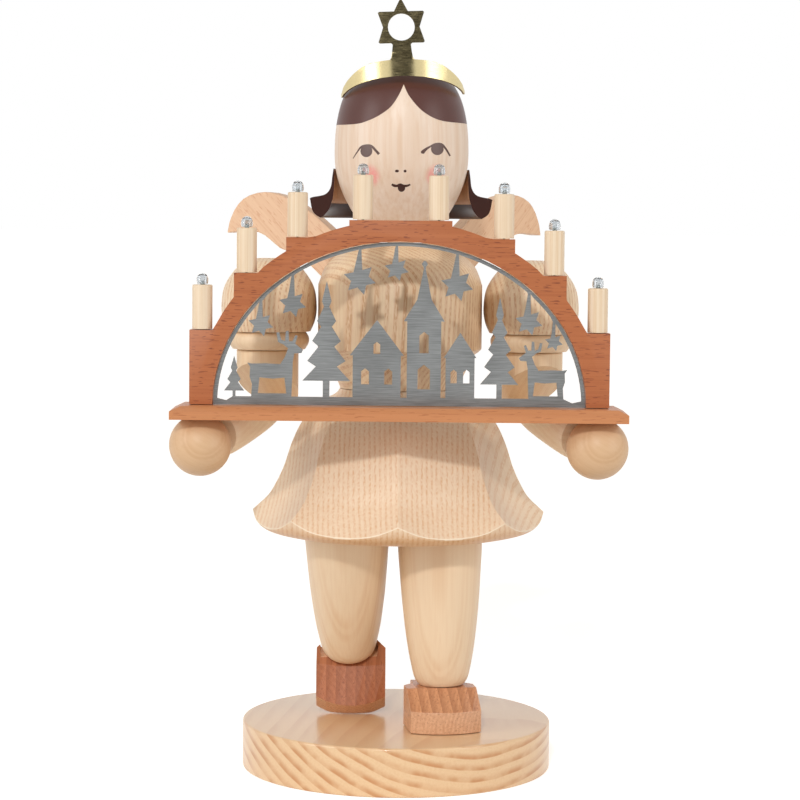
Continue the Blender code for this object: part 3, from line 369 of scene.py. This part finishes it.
# Faces turned down are multiplied darker: painted shade under the skirt.
ash.tint(ash.facing((0, 0, -1), 0.10, 0.80), "F2DCC4", "MULTIPLY")
# Paler wood colour for the eased arris of the hem: a painted highlight.
arris = wood("skirt_arris_highlight", "FAEBD3", "E8CBA2", contrast=0.2, rough=0.42)
shape = bridged([list(ring) for ring in zip(*columns)])
hem_edges = [
    e for e in shape.edges
    if e.is_manifold and e.calc_face_angle() > math.radians(38) and 0.0995 < e.verts[0].co.z < 0.110
]
made = bmesh.ops.bevel(
    shape, geom=hem_edges, offset=HEM_EASE * MM, offset_type="OFFSET", segments=1, profile=0.5,
    affect="EDGES", material=-1, clamp_overlap=True,
)
for face in made["faces"]:
    face.material_index = 1
make_piece("skirt_bell", shape, [ash, arris], ["skirt"], sharp=24)


# Torso of ash, turned: straight sided, drawn in to the waist, with a domed shoulder that shows ring arcs.
# It is pegged to the skirt below and to the head above.
TORSO_R, TORSO_TOP_Z, TORSO_FOOT_Z = 34.4, 221.0, 160.3
dome = smooth_line([(16.0, TORSO_TOP_Z), (20.5, 219.3), (24.5, 217.3), (31.2, 211.3), (TORSO_R, 203.5)], 8)
waist = [(TORSO_R, 177.0), (33.6, 176.0), (31.2, 174.3), (27.0, 165.7), (25.0, TORSO_FOOT_Z)]
ash = wood("torso_ash", "F0D7B4", "C98C55", pith=(24, 4, 0), turn=(2, 1, 0), ring=1.5, wander=0.30,
           contrast=0.42, streak=0.20, pores=(0.42, "BE8048"), rough=0.42)
shape = turned([(0, TORSO_TOP_Z), *dome, *waist, (0, TORSO_FOOT_Z)], 128)
make_piece("torso_turning", shape, [ash], ["torso"])


# Sleeves of ash, turned to a puffed shape, each over a smooth cuff ring of lime.
# Sleeve, cuff and upper arm stand one below the other and are glued end to end.
SLEEVE_X, SLEEVE_TOP_Z, SLEEVE_FOOT_Z = 55.0, 214.2, 183.7
CUFF_TOP_Z, CUFF_FOOT_Z = 183.4, 176.2
sleeve_line = smooth_line([
    (4.6, SLEEVE_TOP_Z), (9.8, 212.7), (14.6, 209.0), (18.8, 202.2), (20.0, 194.5), (19.4, 188.5),
    (17.5, SLEEVE_FOOT_Z),
], 8)
cuff_line = smooth_line([(15.5, CUFF_TOP_Z), (16.8, 181.2), (16.7, 178.7), (15.3, CUFF_FOOT_Z)], 6)
for hand, side in ((-1, "left"), (1, "right")):
    ash = wood(side + "_sleeve_ash", "F2DCBC", "C98E58", pith=(hand * 110, 0, 0), turn=(0, hand * 2, 0),
               ring=1.8, wander=0.5, contrast=0.32, streak=0.24, pores=(0.50, "C0824C"), rough=0.42)
    shape = turned([(0, SLEEVE_TOP_Z), *sleeve_line, (0, SLEEVE_FOOT_Z)], 96, (hand * SLEEVE_X, 0, 0))
    make_piece(side + "_sleeve_turning", shape, [ash], [side + "_sleeve"])
    lime = wood(side + "_cuff_lime", "EED4B2", "CFA06E", pith=(hand * 40, 60, 0), ring=3.0,
                contrast=0.25, streak=0.12)
    shape = turned([(0, CUFF_TOP_Z), *cuff_line, (0, CUFF_FOOT_Z)], 96, (hand * SLEEVE_X, 0, 0))
    make_piece(side + "_cuff_turning", shape, [lime], [side + "_cuff"])


# Arms of lime: a rod and a swelling forearm, mitred and glued at the elbow, with a turned ball for a hand.
# Forearm and hand have a flat on top, where the board rests.
ARM_R, ARM_EASE, ARM_TOP_Z, ARM_LOW_Z, FLAT_Z = 13.0, 0.4, 175.9, 140.0, 151.35
ELBOW_X, ELBOW_Z, ELBOW_GAP, ELBOW_SPARE = 55.5, 161.0, 0.3, 14.0
PALM, BALL_R, BALL_STEPS = (79.1, -58.0, 140.5), 12.4, 48
for hand, side in ((-1, "left"), (1, "right")):
    elbow = Vector((hand * ELBOW_X, 0, ELBOW_Z))
    palm = Vector((hand * PALM[0], PALM[1], PALM[2]))
    reach = (palm - elbow).length
    out = (palm - elbow).normalized()
    mitre = (Vector((0, 0, -1)) + out).normalized()
    lime = wood(side + "_arm_lime", "ECD0AC", "CD9B69", pith=(hand * 110, 20, 0), ring=3.2,
                contrast=0.22, streak=0.14)
    shape = turned([
        (0, ARM_TOP_Z), (ARM_R - ARM_EASE, ARM_TOP_Z), (ARM_R, ARM_TOP_Z - ARM_EASE), (ARM_R, ARM_LOW_Z),
        (0, ARM_LOW_Z),
    ], 96, (hand * ELBOW_X, 0, 0))
    cut(shape, elbow - mitre * ELBOW_GAP / 2, mitre)
    make_piece(side + "_upper_arm_turning", shape, [lime], [side + "_upper_arm"])
    swell = smooth_line([
        (10.0, reach - 12.6), (11.6, reach * 0.74), (13.3, reach * 0.48), (14.0, reach * 0.27),
        (13.3, reach * 0.08), (ARM_R, -2.0),
    ], 8)
    shape = turned([(0, reach - 12.75), *swell, (ARM_R, -ELBOW_SPARE), (0, -ELBOW_SPARE)], 96, elbow, out)
    cut(shape, elbow + mitre * ELBOW_GAP / 2, -mitre)
    cut(shape, (0, 0, FLAT_Z), (0, 0, 1))
    # The forearm's lime is given a paler colour than the upper arm's: painted light where the board shades
    # it.
    lime = wood(side + "_forearm_lime", "F8E2C3", "DBAE7F", pith=(hand * 80, -40, 210),
                turn=(70, 0, hand * 20), ring=3.0, contrast=0.22, streak=0.14)
    make_piece(side + "_forearm_turning", shape, [lime], [side + "_forearm"])
    angles = [PI * i / BALL_STEPS for i in range(1, BALL_STEPS)]
    ball = [(BALL_R * math.sin(a), BALL_R * math.cos(a)) for a in angles]
    shape = turned([(0, BALL_R), *ball, (0, -BALL_R)], 96, palm)
    cut(shape, (0, 0, FLAT_Z), (0, 0, 1))
    # The ball's lime is given a darker colour than the arm's: painted shade against the light of the side
    # lamps.
    lime = wood(side + "_hand_lime", "D9B58E", "BE8E60", pith=(hand * 79, 10, 100), turn=(0, 60, 0), ring=4.2,
                wander=0.5, contrast=0.24, streak=0.12)
    make_piece(side + "_hand_ball", shape, [lime], [side + "_hand"])


# Wings of pale beech, sawn from a board, mitred in the middle and glued to the back of the torso.
# Both are swept back, and the grain runs along each wing, from its root up to its tip.
for hand, side, sweep in ((-1, "left", 25.0), (1, "right", 43.0)):
    lie = Matrix.Rotation(-hand * PI / 4, 3, "Y") @ Matrix.Rotation(math.radians(-hand * sweep), 3, "Z")
    grain = tuple(math.degrees(v) for v in lie.to_euler("XYZ"))
    beech = wood(side + "_wing_beech", "EBC5A2", "D3A077", pith=(hand * 20, 90, 240), turn=grain, ring=2.6,
                 contrast=0.30, streak=0.22, flecks=(0.45, "C98A62", 2.0, 0.28, 0.63), rough=0.45)
    eased(side + "_wing", side + "_wing_board", beech, 0.5, 50, 25)


# Head of lime, turned and pegged to the torso; pink powder is rubbed into the cheeks.
# The painted hair and face lie on it as separate thin coats.
HEAD_TOP_Z, HEAD_FOOT_Z, HEAD_TOP_R, HEAD_ROUND_Z = 296.0, 221.3, 9.0, 295.3
head_line = smooth_line([
    (HEAD_TOP_R, HEAD_ROUND_Z), (16.5, 292.2), (21.5, 286.8), (24.9, 280.2), (27.0, 271.8), (27.9, 262.5),
    (27.6, 252.2), (24.9, 242.6), (20.4, 233.9), (15.5, 226.5), (12.0, HEAD_FOOT_Z),
], 8)
lime = Skin("head_lime")
lime.shade = colour("EEDBC9")
grain = lime.noise(lime.mapped((0, 0, 0), (2, 1, 0), (520.0, 520.0, 9.0)), 1.0, 4.0, 0.6)
broad = lime.noise(lime.mapped((0, 0, 0), (1, 2, 0), (120.0, 120.0, 5.0)))
lime.tint(lime.spread(grain, 0.35, 0.75, 0.0, 0.50), "D9B48F")
lime.tint(lime.spread(broad, 0.4, 0.7, 0.0, 0.35), "E0C3A6")
speck = lime.noise(lime.place, 900.0, 2.0, 0.7)
for cheek in ((-13.4, -24.4, 248.4), (14.6, -23.7, 248.8)):
    centre = tuple(v * MM for v in cheek)
    near = lime.add("ShaderNodeVectorMath", {0: lime.place, 1: centre}, operation="DISTANCE")
    rubbed = lime.spread(near.outputs["Value"], 0.0058, 0.0024, 0.0, 0.74)
    lime.tint(lime.math("MULTIPLY", rubbed, lime.spread(speck, 0.30, 0.60, 0.6, 1.0)), "F08A88")
lime.set(Roughness=0.42)
lime.bump(grain, 0.06, 0.0003)
shape = turned([(0, HEAD_TOP_Z), *head_line, (0, HEAD_FOOT_Z)], 160)
make_piece("head_turning", shape, [lime], ["head"])


# Eyes, brows, nostrils and mouth: brush strokes of brown paint on the bare wood.
# Each stroke is a thin coat that follows the turned surface a few hundredths of a millimetre above it.
PAINT_LIFT = 0.04


def plain(name, base, rough, **more):
    """A material of one even colour."""
    return Skin(name).set(Base_Color=base, Roughness=rough, **more)


def head_radius(z):
    """Radius of the turned head at a height."""
    for (r0, z0), (r1, z1) in zip(head_line, head_line[1:]):
        if z1 <= z <= z0:
            return r0 + (r1 - r0) * (z0 - z) / max(1e-9, z0 - z1)
    share = (HEAD_TOP_Z - z) / (HEAD_TOP_Z - HEAD_ROUND_Z)
    return HEAD_TOP_R * max(0.0, min(1.0, share)) ** 0.5


def on_face(x, z):
    """A point of paint on the front of the head."""
    r = head_radius(z) + PAINT_LIFT
    return Vector((x, -math.sqrt(max(0.01, r * r - x * x)), z)) * MM


def stroke(shape, line, widths):
    """One brush stroke along an (x, z) line with a width at each point."""
    line = smooth_line(line, 6)
    widths = [w[0] for w in smooth_line([(w, 0.0) for w in widths], 6)]
    left, middle, right = [], [], []
    for i, (x, z) in enumerate(line):
        ax, az = line[max(0, i - 1)]
        bx, bz = line[min(len(line) - 1, i + 1)]
        size = math.hypot(bx - ax, bz - az)
        nx, nz = -(bz - az) / size, (bx - ax) / size
        half = max(0.02, widths[i] / 2)
        left.append(shape.verts.new(on_face(x + nx * half, z + nz * half)))
        middle.append(shape.verts.new(on_face(x, z)))
        right.append(shape.verts.new(on_face(x - nx * half, z - nz * half)))
    for one, two in ((left, middle), (middle, right)):
        first = [shape.edges.get(pair) or shape.edges.new(pair) for pair in zip(one, one[1:])]
        second = [shape.edges.get(pair) or shape.edges.new(pair) for pair in zip(two, two[1:])]
        bmesh.ops.bridge_loops(shape, edges=first + second)


def spot(shape, x, z, wide, high, lid=1000.0):
    """A filled round spot, cut off level at the height of the lid."""
    rows = []
    for share in (0.02, 0.2, 0.4, 0.6, 0.8, 1.0):
        row = []
        for i in range(36):
            angle = 2 * PI * i / 36
            row.append(shape.verts.new(on_face(
                x + wide * share * math.cos(angle), min(lid, z + high * share * math.sin(angle)),
            )))
        rows.append([shape.edges.new(pair) for pair in zip(row, row[1:] + row[:1])])
    for low, high_row in zip(rows, rows[1:]):
        bmesh.ops.bridge_loops(shape, edges=low + high_row)
    bmesh.ops.edgeloop_fill(shape, edges=rows[0])


shape = bmesh.new()
stroke(shape, [
    (-19.9, 255.6), (-18.2, 258.2), (-16.5, 260.3), (-14.2, 260.8), (-12.3, 260.5), (-10.4, 258.6),
    (-9.2, 257.3),
], [0.3, 0.5, 0.8, 1.0, 1.0, 1.0, 1.1])
spot(shape, -14.4, 258.6, 2.45, 2.5, 260.6)
stroke(shape, [
    (8.5, 258.1), (9.8, 259.4), (11.8, 260.7), (13.7, 261.6), (16.3, 261.6), (18.3, 259.6), (19.9, 257.0),
], [1.6, 1.1, 0.7, 0.9, 1.0, 0.8, 0.7])
spot(shape, 14.6, 259.7, 2.6, 2.5, 261.5)
spot(shape, 8.6, 258.3, 0.75, 0.65)
make_piece("eye_paint", shape, [plain("eye_brown", colour("54372F"), 0.35)])
shape = bmesh.new()
for x, wide in ((-1.8, 0.8), (1.5, 0.6)):
    spot(shape, x, 250.5, wide, 0.55)
stroke(shape, [
    (-3.9, 245.1), (-2.9, 244.6), (-1.7, 244.5), (-0.4, 244.9), (0.8, 244.5), (2.4, 244.6), (3.7, 245.1),
], [0.8, 1.1, 1.0, 1.2, 1.1, 0.9, 0.6])
spot(shape, 0.1, 243.7, 1.5, 1.6)
make_piece("mouth_paint", shape, [plain("lip_brown", colour("3C1A10"), 0.35)])


# Painted hair: a coat of brown gloss over the crown of the head, parted over the brow.
# Its edge sweeps down from the parting to the temples, and behind them drops into the ring of hair.
PARTING = (0.8, 286.1)
left_edge = [
    (-27.9, 269.9), (-24.0, 269.6), (-19.3, 269.7), (-15.6, 270.4), (-10.4, 272.6), (-5.7, 275.8),
    (-3.1, 278.9), (-0.9, 282.6), PARTING,
]
right_edge = [
    PARTING, (2.9, 281.6), (7.3, 276.3), (11.5, 273.2), (15.7, 271.5), (20.0, 270.9), (24.0, 270.8),
    (27.9, 270.8),
]
hair_line = smooth_line(left_edge, 6) + smooth_line(right_edge, 6)[1:]
TEMPLE_ANGLE, TEMPLE_TURN, TEMPLE_R = 1.62, 0.18, 27.5
TEMPLE_Z, HAIR_BACK_Z, HAIR_TOP_Z = 270.3, 250.0, 295.9


def hair_low(angle):
    """Lower edge of the painted hair at an angle round the head: 0 is the face, pi the back."""
    behind = (abs(angle) - TEMPLE_ANGLE) / TEMPLE_TURN
    if behind > 0:
        return max(HAIR_BACK_Z, TEMPLE_Z - (TEMPLE_Z - HAIR_BACK_Z) * behind)
    x = TEMPLE_R * math.sin(max(-PI / 2, min(PI / 2, angle)))
    for (x0, z0), (x1, z1) in zip(hair_line, hair_line[1:]):
        if x0 <= x <= x1:
            return z0 + (z1 - z0) * (x - x0) / max(1e-9, x1 - x0)
    return hair_line[-1][1]


HAIR_STEPS, HAIR_ROWS = 240, 40
HAIR_LIFT, TOP_COAT, THICKER_ABOVE_Z, THICKER_OVER = 0.06, 0.14, 288.0, 6.0
shape = bmesh.new()
rows = []
for n in range(HAIR_ROWS + 1):
    row = []
    for i in range(HAIR_STEPS):
        angle = 2 * PI * i / HAIR_STEPS - PI
        z = HAIR_TOP_Z - (HAIR_TOP_Z - hair_low(angle)) * (n / HAIR_ROWS) ** 1.4
        r = head_radius(z) + HAIR_LIFT
        coat = TOP_COAT * max(0.0, min(1.0, (z - THICKER_ABOVE_Z) / THICKER_OVER))
        row.append(shape.verts.new(Vector((r * math.sin(angle), -r * math.cos(angle), z + coat)) * MM))
    rows.append([shape.edges.new(pair) for pair in zip(row, row[1:] + row[:1])])
for low, high in zip(rows, rows[1:]):
    bmesh.ops.bridge_loops(shape, edges=low + high)
bmesh.ops.edgeloop_fill(shape, edges=rows[0])
hair_gloss = plain("hair_gloss", colour("4C2015"), 0.45, Specular_IOR_Level=0.4,
                   Coat_Weight=0.25, Coat_Roughness=0.30)
make_piece("hair_cap_paint", shape, [hair_gloss])


# Half ring of hair behind the head, turned, sawn in two and stained dark.
# Its flared lip curls out below the ears, and inside it the wood above the lip is left bare.
BARE_ABOVE_Z = 237.4
outer = smooth_line([
    (28.4, 251.9), (28.9, 248.5), (29.6, 243.9), (32.0, 241.0), (37.6, 239.7), (38.0, 238.3), (36.8, 233.6),
    (33.8, 231.3),
], 6)
inner = smooth_line([
    (32.4, 232.0), (30.2, 234.8), (29.3, BARE_ABOVE_Z), (28.5, 240.0), (28.0, 246.2), (28.05, 251.7),
], 6)
shape = turned(outer + inner, 160, ring=True)
cut(shape, (0, 0, 240), (0, -1, 0))
bmesh.ops.recalc_face_normals(shape, faces=shape.faces)
for face in shape.faces:
    centre = face.calc_center_median()
    outwards = Vector((centre.x, centre.y, 0)).normalized()
    if centre.z > BARE_ABOVE_Z * MM and face.normal.dot(outwards) < -0.5:
        face.material_index = 1
stain = plain("hair_stain", colour("36140A"), 0.40, Specular_IOR_Level=0.35,
              Coat_Weight=0.12, Coat_Roughness=0.3)
bare = wood("hair_ring_wood", "DDB593", "B08058", contrast=0.3)
make_piece("hair_ring_turning", shape, [stain, bare], ["hair_ring"])


# Crown: a band and a six-pointed star cut in one from brass sheet, and bent round the head.
# The sheet is brushed, and the band is a little more matt than the star's stem in front.
brass = Skin("crown_brass")
brush = brass.noise(brass.mapped((0, 0, 0), (0, 0, 0), (300.0, 300.0, 3000.0)))
aside = brass.math("ABSOLUTE", brass.add("ShaderNodeSeparateXYZ", {0: brass.place}).outputs[0])
more = brass.spread(aside, 0.007, 0.015, 0.0, 0.10)
matt = brass.math("ADD", brass.spread(brush, 0.3, 0.7, 0.17, 0.24), more)
brass.set(Base_Color=colour("D8C898"), Metallic=1.0, Roughness=matt)
sheet = eased("crown", "crown_sheet", brass, 0.0, 50, 40)
sheet.modifiers.new("even_normals", "WEIGHTED_NORMAL").keep_sharp = True


# Board and stepped arch of red stained beech, sawn, with the arrises sanded off.
# The arch is glued on the board, and a thin strip of paler wood closes the groove in its back.
def dress(node, skin):
    """Gives a CAD node's own mesh a better material."""
    NODES[node].data.materials.clear()
    NODES[node].data.materials.append(skin.material)


beech = wood("board_beech", "C98758", "B27046", pith=(0, -30, 190), turn=(0, 90, 0), ring=3.6, contrast=0.25,
             streak=0.25, flecks=(0.55, "A05C36", 2.4, 0.30, 0.65), rough=0.42)
eased("arch_board", "board", beech, 0.3, 50, 25)
beech = wood("frame_beech", "B46B3F", "9C532D", pith=(0, -60, 60), turn=(0, 90, 0), ring=5.0, contrast=0.30,
             streak=0.35, flecks=(0.85, "7A3A22", 2.2, 0.28, 0.635), rough=0.42)
eased("arch_frame", "stepped_arch", beech, 0.45, 50, 25)
beech = wood("cover_beech", "E4C09A", "CFA075", pith=(0, 0, 140), turn=(0, 90, 0), contrast=0.3)
dress("groove_cover", beech)


# Window panel of steel sheet, its winter village cut out by laser, let into the inside of the arch.
# The sheet is brushed along its length, and a little cloudy.
steel = Skin("panel_steel")
steel.shade = colour("7A7C7D")
brush = steel.noise(steel.mapped((0, 0, 0), (0, 0, 0), (90.0, 900.0, 3200.0)), 1.0, 3.0, 0.6)
patch = steel.noise(steel.place, 60.0)
steel.tint(steel.spread(brush, 0.3, 0.7), "969999")
steel.set(Metallic=0.9, Roughness=steel.spread(patch, 0.3, 0.7, 0.40, 0.50))
steel.bump(brush, 0.12, 0.0002)
dress("silhouette_panel", steel)


# Eight candles of maple rod, glued on the ledges, each with a small lamp in its top.
# A lamp is clear glass over a greyish glass bead with two leads and a filament.
CANDLE_R, CANDLE_EASE, CANDLE_BORE, CANDLE_HEIGHT, CANDLE_GAP, CANDLE_Y = 4.0, 0.65, 1.5, 17.8, 0.3, -60
BULB_R, BULB_TALL, BULB_WALL = 2.3, 4.6, 0.3
candle_places = [(-78.3, 186.6), (-60.8, 209.2), (-40.8, 223.4), (-15.0, 230.4)]
candle_places += [(-x, z) for x, z in reversed(candle_places)]
outside = smooth_line([
    (0, BULB_TALL), (0.45 * BULB_R, BULB_TALL - 0.12 * BULB_R), (0.80 * BULB_R, BULB_TALL - 0.42 * BULB_R),
    (BULB_R, BULB_TALL - BULB_R), (BULB_R, 0.9), (0.90 * BULB_R, 0.3),
], 4)
inside = smooth_line([
    (0.90 * BULB_R - BULB_WALL, 0.3), (BULB_R - BULB_WALL, 0.9), (BULB_R - BULB_WALL, BULB_TALL - BULB_R),
    (0.80 * BULB_R - BULB_WALL, BULB_TALL - 0.42 * BULB_R - 0.5 * BULB_WALL),
    (0, BULB_TALL - 0.12 * BULB_R - BULB_WALL),
], 4)
glass = plain("bulb_glass", colour("E8ECEF"), 0.02, Transmission_Weight=0.90, IOR=1.45)
bead = plain("bead_glass", colour("AEB9B6"), 0.15, Transmission_Weight=0.35)
for number, (x, ledge) in enumerate(candle_places, 1):
    name = "candle_%d" % number
    top = ledge + CANDLE_HEIGHT
    foot = ledge + CANDLE_GAP
    shoulder = rounded(CANDLE_R, top, CANDLE_EASE, 5)
    shape = turned([
        (CANDLE_BORE, top), *shoulder, (CANDLE_R, foot), (CANDLE_BORE, foot),
    ], 48, (x, CANDLE_Y, 0), ring=True)
    heart = (x + 39.0 - number * 9.0, -76 + number, 200)
    maple = wood(name + "_maple", "ECD9BE", "CDA46E", pith=heart, ring=2.2, contrast=0.40, streak=0.22,
                 rough=0.42)
    make_piece(name + "_rod", shape, [maple], [name])
    shape = turned(outside + inside, 40, (x, CANDLE_Y, top))
    make_piece("bulb_%d_glass" % number, shape, [glass], ["bulb_%d" % number], sharp=60)
    dress("lamp_mount_%d" % number, bead)


# What lies behind the arch: the lead of the lamps in its groove, covered in plastic,
# and the black rubber bush at the board's back edge, where the supply cord would enter.
dress("wiring_loom", plain("lead_plastic", colour("C9BBA0"), 0.4))
dress("lead_gland", plain("gland_rubber", (0.02, 0.02, 0.02, 1.0), 0.55))


# Floor of the studio: pale and matt, and white to the camera, to reflections and through the glass.
# It takes the object's shadow and is no part of the object.
def seen(tree):
    """One where a ray comes straight from the camera, a reflection or a glass."""
    path = tree.nodes.new("ShaderNodeLightPath")
    total = path.outputs["Is Camera Ray"]
    for name in ("Is Glossy Ray", "Is Transmission Ray"):
        largest = tree.nodes.new("ShaderNodeMath")
        largest.operation = "MAXIMUM"
        tree.links.new(total, largest.inputs[0])
        tree.links.new(path.outputs[name], largest.inputs[1])
        total = largest.outputs[0]
    return total


def stage_sheet(name, size, skin):
    """A flat sheet of the studio, lying on the floor about the origin."""
    shape = bmesh.new()
    bmesh.ops.create_grid(shape, x_segments=1, y_segments=1, size=size)
    mesh = bpy.data.meshes.new(name)
    mesh.materials.append(skin.material)
    sheet = bpy.data.objects.new(name, mesh)
    bpy.context.scene.collection.objects.link(sheet)
    return sheet, shape


FLOOR_HALF, FLOOR_GLOW = 60.0, 0.62
pale = plain("floor_white", (0.9, 0.9, 0.9, 1.0), 0.9, Specular_IOR_Level=0.0)
glow = pale.add("ShaderNodeEmission", {"Strength": pale.math("MULTIPLY", seen(pale.tree), FLOOR_GLOW)})
both = pale.add("ShaderNodeAddShader", {0: pale.shader.outputs[0], 1: glow.outputs[0]})
end_node = next(node for node in pale.tree.nodes if node.type == "OUTPUT_MATERIAL")
pale.tree.links.new(both.outputs[0], end_node.inputs["Surface"])
floor, shape = stage_sheet("floor", FLOOR_HALF, pale)
shape.to_mesh(floor.data)
shape.free()


# Even surround of the studio: a dim warm white that lights the object.
# It is plain white where the camera, a reflection or a glass sees it.
world = bpy.data.worlds.new("surround")
bpy.context.scene.world = world
world.use_nodes = True
tree = world.node_tree
tree.nodes.clear()
lit = tree.nodes.new("ShaderNodeBackground")
lit.inputs["Color"].default_value = (1.0, 0.90, 0.80, 1.0)
lit.inputs["Strength"].default_value = 0.36
white = tree.nodes.new("ShaderNodeBackground")
white.inputs["Color"].default_value = (1.0, 1.0, 1.0, 1.0)
white.inputs["Strength"].default_value = 1.0
pick = tree.nodes.new("ShaderNodeMixShader")
tree.links.new(seen(tree), pick.inputs[0])
tree.links.new(lit.outputs[0], pick.inputs[1])
tree.links.new(white.outputs[0], pick.inputs[2])
tree.links.new(pick.outputs[0], tree.nodes.new("ShaderNodeOutputWorld").inputs[0])


# Lamps of the studio: a soft box at each side and one lamp high in front.
# A dark card behind the camera is what the crown's front and the steel reflect.
def lamp(name, kind, energy, place, aim):
    """A lamp at a place in metres that shines along a direction."""
    data = bpy.data.lights.new(name, kind)
    data.energy = energy
    obj = bpy.data.objects.new(name, data)
    bpy.context.scene.collection.objects.link(obj)
    obj.location = place
    obj.rotation_euler = Vector(aim).to_track_quat("-Z", "Y").to_euler()
    return data


MIDDLE = Vector((0, 0, 0.17))
for name, energy, place in (("left_box", 6.5, (-1.15, -0.70, 0.62)), ("right_box", 4.8, (1.15, -0.70, 0.55))):
    box = lamp(name, "AREA", energy, place, MIDDLE - Vector(place))
    box.shape = "RECTANGLE"
    box.size = 0.6
    box.size_y = 0.9
lamp("front_lamp", "SUN", 1.05, (0, -1.0, 0.8), (0.12, 0.90, -0.48)).angle = math.radians(3.5)

card, shape = stage_sheet("dark_card", 0.5, plain("card_black", (0.015, 0.013, 0.01, 1.0), 0.9))
bmesh.ops.scale(shape, vec=(1.0, 1.3, 1.0), verts=shape.verts)
bmesh.ops.rotate(shape, matrix=Matrix.Rotation(PI / 2, 3, "X"), verts=shape.verts)
bmesh.ops.translate(shape, vec=(0, -1.35, 0.45), verts=shape.verts)
shape.to_mesh(card.data)
shape.free()
card.visible_camera = False
card.visible_diffuse = False
card.visible_shadow = False


# Camera at the photograph's place: about a metre in front of the figure, at the height of the lamps.
# It looks slightly down and is turned a little about its own axis.
PICTURE_PIXELS, FOCUS_PIXELS, PITCH_PIXELS = 800.0, 2500.0, 178.5
SENSOR, DISTANCE, EYE_HEIGHT = 36.0, 1.05, 0.230
pitch = math.atan(PITCH_PIXELS / FOCUS_PIXELS)
roll = math.radians(0.55)
forward = Vector((0, math.cos(pitch), -math.sin(pitch)))
up_level = Vector((0, math.sin(pitch), math.cos(pitch)))
right_level = Vector((1, 0, 0))
right_axis = right_level * math.cos(roll) + up_level * math.sin(roll)
up_axis = up_level * math.cos(roll) - right_level * math.sin(roll)
camera_data = bpy.data.cameras.new("camera")
camera_data.sensor_width = SENSOR
camera_data.lens = SENSOR * FOCUS_PIXELS / PICTURE_PIXELS
camera_data.shift_x = 0.001
camera_data.clip_start = 0.05
camera_data.clip_end = 50.0
camera = bpy.data.objects.new("camera", camera_data)
bpy.context.scene.collection.objects.link(camera)
camera.matrix_world = (
    Matrix.Translation((0, -DISTANCE, EYE_HEIGHT))
    @ Matrix((right_axis, up_axis, -forward)).transposed().to_4x4()
)
bpy.context.scene.camera = camera
bpy.context.scene.view_settings.view_transform = "Standard"
